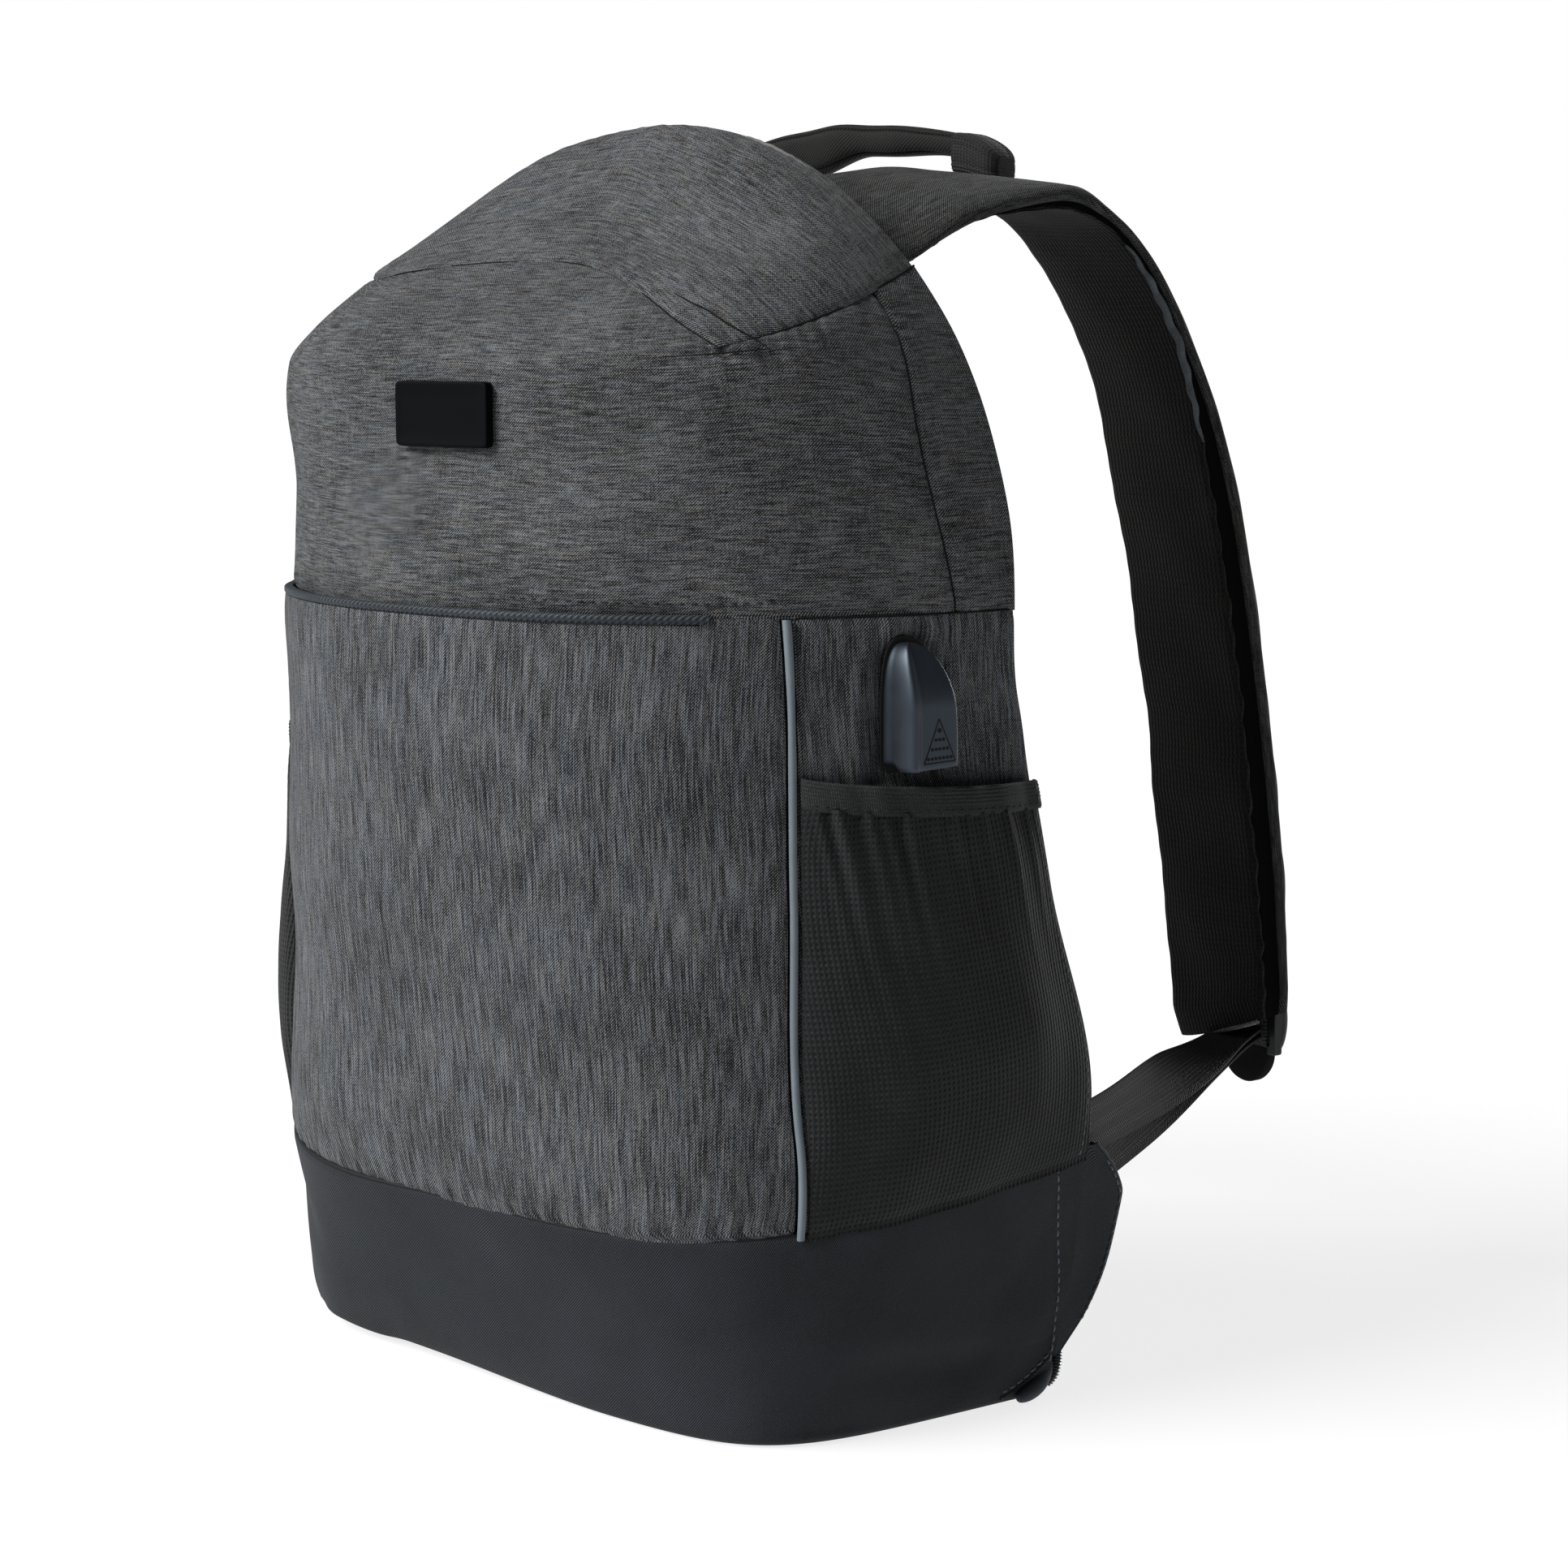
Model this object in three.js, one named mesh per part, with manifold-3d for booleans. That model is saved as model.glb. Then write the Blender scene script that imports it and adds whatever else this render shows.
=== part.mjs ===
// Anti-theft backpack: a soft daypack with a slip pocket, two mesh bottle pockets, a charging port,
// padded shoulder straps and a rear zip. Millimetres, +Z up. The origin is the middle of the base on
// the floor; the front faces -Y and the wearer's side faces +Y.

import * as THREE from 'three';
import { mergeVertices } from 'three/addons/utils/BufferGeometryUtils.js';
import Module from 'manifold-3d';

// Driving dimensions of the body
const HEIGHT = 450;
const SEAM_Z = 284;
const BACK_Y = 29;
const WALL = 3;
const GAP = 0.3;
const PIPING_Y = -46;
const PIPING_RADIUS = 1.6;
const BASE_ROUND = 6;

// Plan sections of the body by height: half width at the back, y of the back plane, depth to the
// front, how much narrower the front is, and how boxy the plan is (2 is an ellipse).
const SECTIONS = table(['z', 'half', 'rear', 'deep', 'taper', 'box'], [
  [0, 153, 57, 115, 0.24, 6.5],
  [50, 158, 67, 138, 0.16, 4.2],
  [110, 164, 67, 154, 0.18, 3.2],
  [190, 160, 45, 140, 0.19, 2.6],
  [SEAM_Z, 156, BACK_Y, 124, 0.2, 2.35],
  [330, 156, BACK_Y, 111, 0.16, 2.8],
  [365, 156, BACK_Y, 110, 0.1, 3.3],
  [378, 156, BACK_Y, 98, 0.08, 3.4],
  [390, 156, BACK_Y, 80, 0.07, 3.5],
  [405, 156, BACK_Y, 55, 0.06, 3.5],
  [420, 156, BACK_Y, 34, 0.05, 3.5],
  [435, 156, BACK_Y, 19, 0.05, 3.5],
  [HEIGHT, 156, BACK_Y, 2, 0.05, 3.5],
]);

// Strip of cloth between the front panel and the back edge: its depth by height
const GUSSET = table(['z', 'depth'], [
  [SEAM_Z, 23.5],
  [345, 32],
  [386, 26],
  [HEIGHT, 26],
]);

// The hood seam: an arch over the front, falling further on the right, then a straight run along
// each side to the back edge
const RIGHT = { cornerDrop: 30 };
const LEFT = { cornerDrop: 5 };
const HOOD_PEAK_Z = 401;
const HOOD_ARCH_POWER = 1.1;
const HOOD_CORNER_TURN = 0.8;
const HOOD_BACK_Z = 398.5;
const HOOD_COLS = 16;
const SIDE_COLS = 7;

// Slip pocket: depth of its slit, how far up the panel above is drawn in, and how far round
const SLIT = 6;
const SLIT_REACH = 42;
const SLIT_TURN = 0.92;
const SLIT_EASE = 0.35;
const BINDING_TALL = 3.4;

// Base top edge: height at the front and its rise towards the back
const BASE_FRONT_Z = 74;
const BASE_FRONT_Y = -79;
const BASE_RISE = 0.105;

// Bottle pockets: mouth height, elastic band, cloth, and how far the mesh stands out
const MOUTH_FRONT_Z = 233;
const MOUTH_BACK_Z = 226;
const BAND_TALL = 10;
const MESH_WALL = 1.2;
const MESH_BULGE = 13.5;
const MOUTH_BULGE = 9;
const BELLY_SHARE = 0.45;
const BELLY_ROUND = 0.7;
const BAND_PROUD = 0.4;
const POCKET_MIDDLE_Z = 150;

// Rear closure: padded panel, zip band and their insets from the outline of the back
const ZIP_INSET = WALL + 2 * GAP;
const ZIP_WIDE = 6;
const ZIP_THICK = 2.9;
const ZIP_FOOT_Z = 4;
const SLIDER_SHARE = 0.78;
const PANEL_INSET = ZIP_INSET + ZIP_WIDE + 3 * GAP;
const PAD_EDGE_THICK = 2;
const PAD_SWELL = 6;
const PAD_EDGE = 32;

// Corner wings: how far they reach behind the back edge, by height
const WING = table(['z', 'reach'], [
  [14, 1.2],
  [27, 13],
  [45, 22],
  [60, 26],
  [68, 28],
  [77, 24],
  [87, 17],
  [91, 12],
]);
const WING_FLARE = 0.1;

// Shoulder strap: its loop lies in an upright plane that splays outwards from the root. Rows give the
// mesh face from root to end: distance along the plane, height, roll, width and thickness.
const STRAP_ROOT = new THREE.Vector2(72, 37);
const STRAP_SPLAY = THREE.MathUtils.degToRad(16);
const STRAP_STEPS = 26;
const COVER_SHARE = 0.34;
const COVER_LAP = 1.03;
const SPLAY_ROWS = 2.5;
const STRAP = table(['way', 'r', 'z', 'roll', 'wide', 'thick'], [
  [0, 3.2, 411, 22, 68, 9],
  [1, 18, 415, 19, 67, 10],
  [2, 45, 419.5, 13, 65, 11],
  [3, 76, 421, 7, 62, 11],
  [4, 98, 416, 4, 60, 11],
  [5, 116, 402, 1, 58, 11],
  [6, 132, 381, 0, 56, 11],
  [7, 146, 352, 0, 55, 12],
  [8, 160, 304, 0, 55, 12],
  [9, 173, 245, 0, 55, 12],
  [10, 183, 186, 0, 55, 12],
  [11, 191, 130, 0, 54, 11],
  [12, 195, 94, 0, 53, 11],
]);

// Adjuster: ladder lock at the strap end, and its webbing
const WEB_WIDE = 25;
const WEB_THICK = 1.6;
const LOCK_WIDE = 34;
const LOCK_TALL = 27;
const LOCK_THICK = 4.4;
const LOCK_SLOT_WIDE = 27;
const LOCK_SLOT_TALL = 5;
const LOCK_SLOTS = [4, 16];
const LOCK_TAB = 13;
const LOCK_R = 206.6;
const LOCK_TOP_Z = 117;
const WEB_RUN = [
  [158, 78, 89],
  [151, 122, 90],
  [140, 172, 91],
  [132, 208, 90.5],
  [128.8, 235.1, 91.5],
];
const WEB_TAIL = [
  [152, 92, 83],
  [146, 128, 84],
  [136, 176, 84],
  [131, 210, 82.5],
  [128.8, 235.1, 84.5],
];

// Carry handle between the strap tops
const HANDLE_Y = 131;
const GRIP_HALF = 60;
const GRIP_TOP_Z = 455;
const GRIP_SAG = 6.5;
const GRIP_TALL = 12;
const GRIP_DEEP = 12;
const GRIP_SQUARE = 0.8;
const SLEEVE_START = 54;
const SLEEVE_END = 81;
const SLEEVE_TOP_Z = 452.2;
const SLEEVE_DROP = 10;
const SLEEVE_FOOT_Z = 434.9;
const SLEEVE_DEEP = 17;
const SLEEVE_WALL = 2;
const SLEEVE_SQUARE = 0.35;

// Charging port hood and front badge
const HOOD_Y = -10;
const HOOD_FOOT_Z = 231;
const HOOD_TALL = 46;
const HOOD_WIDE = 21;
const HOOD_PROUD = 15;
const HOOD_WALL = 2;
const HOOD_SEAT = 0.7;
const HOOD_HOLLOW = 0.88;
const BADGE_WIDE = 43;
const BADGE_TALL = 22;
const BADGE_THICK = 3.2;
const BADGE_Z = 349;
const BADGE_CORNER = 1.5;
const BADGE_SEAT = 0.8;

const wasm = await Module();
wasm.setup();

// Smooth curve through a table's rows, one function for each named column, without overshoot
function table(names, rows) {
  const key = rows.map((row) => row[0]);
  const columns = { first: key[0], last: key[key.length - 1] };
  names.slice(1).forEach((name, i) => {
    columns[name] = monotone(key, rows.map((row) => row[i + 1]));
  });
  return columns;
}

function monotone(key, value) {
  const last = key.length - 1;
  const rise = key.slice(1).map((k, i) => (value[i + 1] - value[i]) / (k - key[i]));
  const slope = value.map((v, i) => {
    if (i === 0) return rise[0];
    if (i === last) return rise[last - 1];
    const [a, b] = [rise[i - 1], rise[i]];
    return a * b > 0 ? (2 * a * b) / (a + b) : 0;
  });
  return (k) => {
    let i = 0;
    while (i < last - 1 && k > key[i + 1]) i += 1;
    const span = key[i + 1] - key[i];
    const t = (k - key[i]) / span;
    const ease = t * t * (3 - 2 * t);
    const bend = slope[i] * t * (1 - t) * (1 - t) - slope[i + 1] * t * t * (1 - t);
    return value[i] * (1 - ease) + value[i + 1] * ease + span * bend;
  };
}

// Body surface: half width of the back outline at a height, straight sides under an elliptical arch
function halfWidth(z) {
  if (z <= SEAM_Z) return SECTIONS.half(Math.max(z, 0));
  const up = Math.min((z - SEAM_Z) / (HEIGHT - SEAM_Z), 1);
  return SECTIONS.half(SEAM_Z) * Math.sqrt(1 - up * up);
}

// Point of the body's outer face at a turn (0 right back edge, half pi front, pi left) and height
function bodyAt(turn, z) {
  const power = 2 / SECTIONS.box(z);
  const back = Math.max(Math.sin(turn), 0) ** power;
  const side = Math.sign(Math.cos(turn)) * Math.abs(Math.cos(turn)) ** power;
  const x = halfWidth(z) * (1 - SECTIONS.taper(z) * back) * side;
  return new THREE.Vector3(x, SECTIONS.rear(z) - SECTIONS.deep(z) * back, z);
}

function turnAtDepth(depth, z) {
  const share = THREE.MathUtils.clamp(depth / SECTIONS.deep(z), 0, 1);
  return Math.asin(share ** (SECTIONS.box(z) / 2));
}

function turnAtY(y, z) {
  return turnAtDepth(SECTIONS.rear(z) - y, z);
}

// Half width of the body at a depth behind which it is cut
function widthAtDepth(depth, z) {
  const share = Math.min(Math.max(depth, 0) / SECTIONS.deep(z), 1);
  const box = SECTIONS.box(z);
  return halfWidth(z) * (1 - SECTIONS.taper(z) * share) * (1 - share ** box) ** (1 / box);
}

// Hood seam over the front, and along a side from the corner to the back edge
function sideOf(turn) {
  return turn <= Math.PI / 2 ? RIGHT : LEFT;
}

function hoodFrontZ(turn) {
  const away = Math.abs(Math.PI / 2 - turn) / (Math.PI / 2 - HOOD_CORNER_TURN);
  return HOOD_PEAK_Z - sideOf(turn).cornerDrop * away ** HOOD_ARCH_POWER;
}

function hoodSideZ(depth, side) {
  const cornerZ = HOOD_PEAK_Z - side.cornerDrop;
  const cornerDepth = BACK_Y - bodyAt(HOOD_CORNER_TURN, cornerZ).y;
  return HOOD_BACK_Z + ((cornerZ - HOOD_BACK_Z) * depth) / cornerDepth;
}

function hoodSeamZ(turn) {
  const near = Math.min(turn, Math.PI - turn);
  if (near >= HOOD_CORNER_TURN) return hoodFrontZ(turn);
  let z = HOOD_BACK_Z;
  for (let i = 0; i < 12; i += 1) z = hoodSideZ(BACK_Y - bodyAt(near, z).y, sideOf(turn));
  return z;
}

function baseTopZ(y) {
  return BASE_FRONT_Z + BASE_RISE * (y - BASE_FRONT_Y);
}

function mouthZ(y, z) {
  const share = (y - PIPING_Y) / (SECTIONS.rear(z) - PIPING_Y);
  return THREE.MathUtils.lerp(MOUTH_FRONT_Z, MOUTH_BACK_Z, Math.sqrt(Math.max(share, 0)));
}

// Solids from grids of points

function solid(points, faces) {
  const geometry = new THREE.BufferGeometry();
  const flat = points.flatMap((p) => [p.x, p.y, p.z]);
  geometry.setAttribute('position', new THREE.Float32BufferAttribute(flat, 3));
  geometry.setIndex(faces.flat());
  return tidied(geometry);
}

// Merged copy without the triangles that merging has flattened
function tidied(geometry) {
  const merged = mergeVertices(geometry, 1e-3);
  const index = merged.index.array;
  const kept = [];
  for (let i = 0; i < index.length; i += 3) {
    const [a, b, c] = [index[i], index[i + 1], index[i + 2]];
    if (a !== b && b !== c && c !== a) kept.push(a, b, c);
  }
  merged.setIndex(kept);
  return merged;
}

function normalOf(place, u, v) {
  const step = 1e-3;
  const across = place(u + step, v).sub(place(u - step, v));
  const along = place(u, v + step).sub(place(u, v - step));
  return along.cross(across).normalize();
}

// A cloth wall over a patch: u runs from right to left round the front, v upwards. Its inner face
// stops at the back plane, unless the patch lies behind that.
function wall(place, cols, rows, thick, behind = false) {
  const points = [];
  for (const depth of [0, thick]) {
    for (let j = 0; j <= rows; j += 1) {
      for (let i = 0; i <= cols; i += 1) {
        const [u, v] = [i / cols, j / rows];
        const point = place(u, v).addScaledVector(normalOf(place, u, v), -depth);
        if (!behind) point.y = Math.min(point.y, SECTIONS.rear(point.z));
        points.push(point);
      }
    }
  }
  return solid(points, shellFaces(cols, rows));
}

// Triangles of two matching grids, the outer one first, joined round their rim
function shellFaces(cols, rows) {
  const at = (layer, i, j) => layer * (cols + 1) * (rows + 1) + j * (cols + 1) + i;
  const faces = [];
  const quad = (a, b, c, d) => faces.push([a, b, c], [a, c, d]);
  for (let j = 0; j < rows; j += 1) {
    for (let i = 0; i < cols; i += 1) {
      quad(at(0, i, j), at(0, i, j + 1), at(0, i + 1, j + 1), at(0, i + 1, j));
      quad(at(1, i, j), at(1, i + 1, j), at(1, i + 1, j + 1), at(1, i, j + 1));
    }
  }
  for (let i = 0; i < cols; i += 1) {
    quad(at(0, i, 0), at(0, i + 1, 0), at(1, i + 1, 0), at(1, i, 0));
    quad(at(0, i, rows), at(1, i, rows), at(1, i + 1, rows), at(0, i + 1, rows));
  }
  for (let j = 0; j < rows; j += 1) {
    quad(at(0, 0, j), at(1, 0, j), at(1, 0, j + 1), at(0, 0, j + 1));
    quad(at(0, cols, j), at(0, cols, j + 1), at(1, cols, j + 1), at(1, cols, j));
  }
  return faces;
}

// A solid through matching closed rings, capped at both ends
function loft(rings) {
  const count = rings[0].length;
  const faces = [];
  for (let j = 0; j < rings.length - 1; j += 1) {
    for (let i = 0; i < count; i += 1) {
      const [a, b] = [j * count + i, j * count + ((i + 1) % count)];
      faces.push([a, b, b + count], [a, b + count, a + count]);
    }
  }
  const end = (rings.length - 1) * count;
  for (let i = 1; i < count - 1; i += 1) {
    faces.push([0, i + 1, i], [end, end + i, end + i + 1]);
  }
  return outward(solid(rings.flat(), faces));
}

// The same solid with its faces pointing out
function outward(geometry) {
  const position = geometry.attributes.position;
  const index = geometry.index.array;
  const [a, b, c] = [new THREE.Vector3(), new THREE.Vector3(), new THREE.Vector3()];
  let volume = 0;
  for (let i = 0; i < index.length; i += 3) {
    a.fromBufferAttribute(position, index[i]);
    b.fromBufferAttribute(position, index[i + 1]);
    c.fromBufferAttribute(position, index[i + 2]);
    volume += a.dot(b.cross(c));
  }
  if (volume < 0) turnFaces(geometry);
  return geometry;
}

function turnFaces(geometry) {
  const index = geometry.index.array;
  for (let i = 0; i < index.length; i += 3) {
    [index[i + 1], index[i + 2]] = [index[i + 2], index[i + 1]];
  }
}

function mirrored(geometry) {
  const copy = geometry.clone();
  copy.scale(-1, 1, 1);
  turnFaces(copy);
  return copy;
}

function cut(geometry, tool) {
  const result = manifold(geometry).subtract(manifold(tool)).getMesh();
  const cutGeometry = new THREE.BufferGeometry();
  cutGeometry.setAttribute('position', new THREE.Float32BufferAttribute(result.vertProperties, 3));
  cutGeometry.setIndex([...result.triVerts]);
  return tidied(cutGeometry);
}

function manifold(geometry) {
  const bare = new THREE.BufferGeometry();
  bare.setAttribute('position', geometry.attributes.position);
  bare.setIndex(geometry.index);
  const merged = tidied(bare);
  return new wasm.Manifold(new wasm.Mesh({
    numProp: 3,
    vertProperties: new Float32Array(merged.attributes.position.array),
    triVerts: new Uint32Array(merged.index.array),
  }));
}

// Upper body

// How far the panel above the slip pocket is drawn in behind the pocket's lip
function drawnIn(turn, z) {
  const middle = THREE.MathUtils.clamp(1 - Math.abs(turn - Math.PI / 2) / SLIT_TURN, 0, 1);
  const low = THREE.MathUtils.clamp(1 - (z - SEAM_Z) / SLIT_REACH, 0, 1);
  return SLIT * THREE.MathUtils.smoothstep(middle, 0, SLIT_EASE) * low ** 2;
}

function pushed(turn, z, out) {
  const skin = (u, v) => bodyAt(turn + u, z + v * 10);
  const point = bodyAt(turn, z);
  return out === 0 ? point : point.addScaledVector(normalOf(skin, 0, 0), out);
}

function frontUpperPanel() {
  const edgeTurn = (z) => turnAtDepth(GUSSET.depth(z) + GAP / 2, z);
  const sideShare = SIDE_COLS / (2 * SIDE_COLS + HOOD_COLS);
  const turnOf = (u, z) => {
    const near = Math.min(u, 1 - u);
    const along = (near - sideShare) / (0.5 - sideShare);
    const front = THREE.MathUtils.lerp(HOOD_CORNER_TURN, Math.PI / 2, along);
    const side = THREE.MathUtils.lerp(edgeTurn(z), HOOD_CORNER_TURN, near / sideShare);
    const turn = along >= 0 ? front : side;
    return u <= 0.5 ? turn : Math.PI - turn;
  };
  const place = (u, v) => {
    let top = HOOD_BACK_Z;
    for (let i = 0; i < 8; i += 1) top = hoodSeamZ(turnOf(u, top));
    const z = THREE.MathUtils.lerp(SEAM_Z + GAP / 2, top - GAP / 2, v);
    return pushed(turnOf(u, z), z, -drawnIn(turnOf(u, z), z));
  };
  return wall(place, 2 * SIDE_COLS + HOOD_COLS, 7, WALL);
}

// Hood between the seam and the back arch. The side share of each column is carried from the back
// arch to the seam, and its height follows from the body surface.
function topPanel() {
  const backTurn = Math.asin((HOOD_BACK_Z - SEAM_Z) / (HEIGHT - SEAM_Z));
  const sideWidth = (depth, side) => widthAtDepth(depth, hoodSideZ(depth, side) + GAP / 2);
  const heightAt = (depth, x) => {
    let [low, high] = [SEAM_Z, HEIGHT];
    for (let i = 0; i < 40; i += 1) {
      const middle = (low + high) / 2;
      if (widthAtDepth(depth, middle) > x && depth < SECTIONS.deep(middle)) low = middle;
      else high = middle;
    }
    return low;
  };
  const place = (u, v) => {
    const turn = THREE.MathUtils.lerp(HOOD_CORNER_TURN, Math.PI - HOOD_CORNER_TURN, u);
    const front = bodyAt(turn, hoodFrontZ(turn) + GAP / 2);
    const frontDepth = BACK_Y - front.y;
    const arch = THREE.MathUtils.lerp(backTurn, Math.PI - backTurn, u);
    const backShare = Math.cos(arch) / Math.cos(backTurn);
    const side = sideOf(turn);
    const share = THREE.MathUtils.lerp(front.x / sideWidth(frontDepth, side), backShare, v);
    const depth = Math.max(frontDepth * (1 - v), 0);
    const x = share * sideWidth(depth, side);
    return new THREE.Vector3(x, BACK_Y - depth, heightAt(depth, Math.abs(x)));
  };
  return wall(place, HOOD_COLS, 8, WALL);
}

function backGusset(side) {
  const place = (u, v) => {
    const topZ = hoodSideZ(GUSSET.depth(HOOD_BACK_Z) * u, side) - GAP / 2;
    const z = THREE.MathUtils.lerp(SEAM_Z + GAP / 2, topZ, v);
    const depth = (GUSSET.depth(z) - GAP / 2) * Math.max(u, 0);
    return bodyAt(turnAtDepth(depth, z), z);
  };
  return wall(place, 3, 10, WALL);
}

// Lower body

function sidePanel() {
  const place = (u, v) => {
    const frontY = PIPING_Y + PIPING_RADIUS;
    const rough = THREE.MathUtils.lerp(SECTIONS.rear(BASE_FRONT_Z), frontY, u);
    const z = THREE.MathUtils.lerp(baseTopZ(rough) + GAP / 2, SEAM_Z - GAP / 2, v);
    const y = THREE.MathUtils.lerp(SECTIONS.rear(z), frontY, u);
    return bodyAt(turnAtY(y, z), z);
  };
  return wall(place, 6, 10, WALL);
}

// Front cloth from one piping to the other, drawn in by an amount that may vary over it
function frontCloth(edgeY, topZ, inset, cols, rows) {
  const place = (u, v) => {
    const bottom = baseTopZ(bodyAt(Math.PI * (0.2 + 0.6 * u), BASE_FRONT_Z).y) + GAP / 2;
    const z = THREE.MathUtils.lerp(bottom, topZ, v);
    const edge = turnAtY(edgeY, z);
    const turn = edge + (Math.PI - 2 * edge) * u;
    return pushed(turn, z, -inset(u));
  };
  return wall(place, cols, rows, WALL);
}

function frontPocketPanel() {
  const edgeY = PIPING_Y - PIPING_RADIUS;
  return frontCloth(edgeY, SEAM_Z - BINDING_TALL - GAP, () => 0, 20, 9);
}

function frontWall() {
  const middle = (u) => Math.sqrt(Math.max(1 - Math.abs(2 * u - 1) ** 3, 0));
  const behind = (u) => WALL + 3 * GAP + (SLIT - WALL) * middle(u);
  return frontCloth(PIPING_Y + 4, SEAM_Z - GAP, behind, 16, 5);
}

// Folded tape along the pocket's top edge: a bead with a rounded top
function pocketBinding() {
  const steps = 20;
  const profile = [[0.5, 0], [0.5, 0.6], [-0.4, 1], [-2, 1], [-2.9, 0.6], [-2.9, 0]];
  const rings = [];
  for (let i = 0; i <= steps; i += 1) {
    const z = SEAM_Z - BINDING_TALL;
    const edge = turnAtY(PIPING_Y - PIPING_RADIUS, z);
    const turn = edge + ((Math.PI - 2 * edge) * i) / steps;
    rings.push(profile.map(([out, up]) => {
      const point = pushed(turn, z, out);
      point.z = z + up * (BINDING_TALL - GAP);
      return point;
    }));
  }
  return loft(rings);
}

function piping() {
  const steps = 14;
  const rings = [];
  for (let j = 0; j <= steps; j += 1) {
    const z = THREE.MathUtils.lerp(baseTopZ(PIPING_Y) + GAP, SEAM_Z - GAP, j / steps);
    const centre = pushed(turnAtY(PIPING_Y, z), z, PIPING_RADIUS * 0.3);
    const edge = (c, s) => new THREE.Vector3(c, s, 0).multiplyScalar(PIPING_RADIUS).add(centre);
    rings.push(ring(6, edge));
  }
  return loft(rings);
}

function ring(count, place) {
  return Array.from({ length: count }, (unused, i) => {
    const angle = (i / count) * Math.PI * 2;
    return place(Math.cos(angle), Math.sin(angle));
  });
}

// Bottle pocket cloth stands off the side panel, most in its lower half, and is held flat at its edges
function pocketPlace(lowZ, highZ, proud = 0) {
  return (u, v) => {
    const [backEdge, frontEdge] = [0.5, PIPING_Y + PIPING_RADIUS + GAP];
    const rough = THREE.MathUtils.lerp(SECTIONS.rear(POCKET_MIDDLE_Z), frontEdge, u);
    const z = THREE.MathUtils.lerp(lowZ(rough), highZ(rough), v);
    const y = THREE.MathUtils.lerp(SECTIONS.rear(z) - backEdge, frontEdge, u);
    const tall = mouthZ(rough, POCKET_MIDDLE_Z) - baseTopZ(y);
    const rise = THREE.MathUtils.clamp((z - baseTopZ(y)) / tall, 0, 1);
    const belly = rise < BELLY_SHARE ? Math.sin((rise / BELLY_SHARE) * (Math.PI / 2)) : 1;
    const stand = belly * THREE.MathUtils.lerp(MESH_BULGE, MOUTH_BULGE, rise ** 2);
    const across = Math.sin(Math.PI * THREE.MathUtils.clamp(u, 0, 1)) ** BELLY_ROUND;
    return pushed(turnAtY(y, z), z, GAP + MESH_WALL + proud + stand * across);
  };
}

function meshPocket() {
  const topZ = (y) => mouthZ(y, POCKET_MIDDLE_Z) - BAND_TALL - GAP;
  return wall(pocketPlace((y) => baseTopZ(y) + GAP, topZ), 8, 8, MESH_WALL);
}

function meshBinding() {
  const topZ = (y) => mouthZ(y, POCKET_MIDDLE_Z);
  const place = pocketPlace((y) => topZ(y) - BAND_TALL, topZ, BAND_PROUD);
  return wall(place, 10, 2, MESH_WALL + BAND_PROUD);
}

// Base tub: wall, rounded lower edge and floor, open to the back
function base() {
  const round = Math.PI / 2;
  const place = (u, v) => {
    const turn = Math.PI * THREE.MathUtils.clamp(u, 0, 1);
    if (v <= 0.4) return tubFloor(turn, v / 0.4);
    if (v <= 0.6) {
      const angle = ((v - 0.4) / 0.2) * round;
      return tubWall(turn, BASE_ROUND * (1 - Math.sin(round - angle)), BASE_ROUND * (1 - Math.sin(angle)));
    }
    let top = BASE_FRONT_Z;
    for (let i = 0; i < 6; i += 1) top = baseTopZ(bodyAt(turn, top).y) - GAP / 2;
    return tubWall(turn, THREE.MathUtils.lerp(BASE_ROUND, top, (v - 0.6) / 0.4), 0);
  };
  return tub(place);
}

function tubWall(turn, z, inset) {
  const point = bodyAt(turn, z);
  const shrink = 1 - inset / SECTIONS.half(0);
  point.x *= shrink;
  point.y = SECTIONS.rear(z) - (SECTIONS.rear(z) - point.y) * (1 - inset / SECTIONS.deep(0));
  return point;
}

function tubFloor(turn, share) {
  const edge = tubWall(turn, 0, BASE_ROUND);
  edge.y = THREE.MathUtils.lerp(SECTIONS.rear(0), edge.y, share);
  return edge;
}

// The tub's rows are spaced by hand: floor, lower round, then wall
function tub(place) {
  const stops = [0, 0.2, 0.4, 0.45, 0.5, 0.55, 0.6, 0.74, 0.87, 1];
  const cols = 30;
  const points = [];
  for (const depth of [0, WALL]) {
    for (const v of stops) {
      for (let i = 0; i <= cols; i += 1) {
        const u = i / cols;
        const point = place(u, v).add(tubInward(place, u, v).multiplyScalar(depth));
        point.y = Math.min(point.y, SECTIONS.rear(point.z));
        points.push(point);
      }
    }
  }
  return solid(points, shellFaces(cols, stops.length - 1));
}

function tubInward(place, u, v) {
  if (v <= 0.4) return new THREE.Vector3(0, 0, 1);
  const inside = THREE.MathUtils.clamp(u, 0.002, 0.998);
  return normalOf(place, inside, Math.min(v, 0.995)).negate();
}

// Rear closure

// Outline of the back, inset towards its middle: share 0 at the right foot, 1 at the left foot
function backOutline(share, inset, footZ) {
  const straight = 0.3;
  const near = Math.min(share, 1 - share);
  const side = share <= 0.5 ? 1 : -1;
  if (near < straight) {
    const z = THREE.MathUtils.lerp(footZ, SEAM_Z, near / straight);
    return new THREE.Vector2(side * (halfWidth(z) - inset), z);
  }
  const angle = ((near - straight) / (0.5 - straight)) * (Math.PI / 2);
  const x = (halfWidth(SEAM_Z) - inset) * Math.cos(angle);
  return new THREE.Vector2(side * x, SEAM_Z + (HEIGHT - SEAM_Z - inset) * Math.sin(angle));
}

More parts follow.
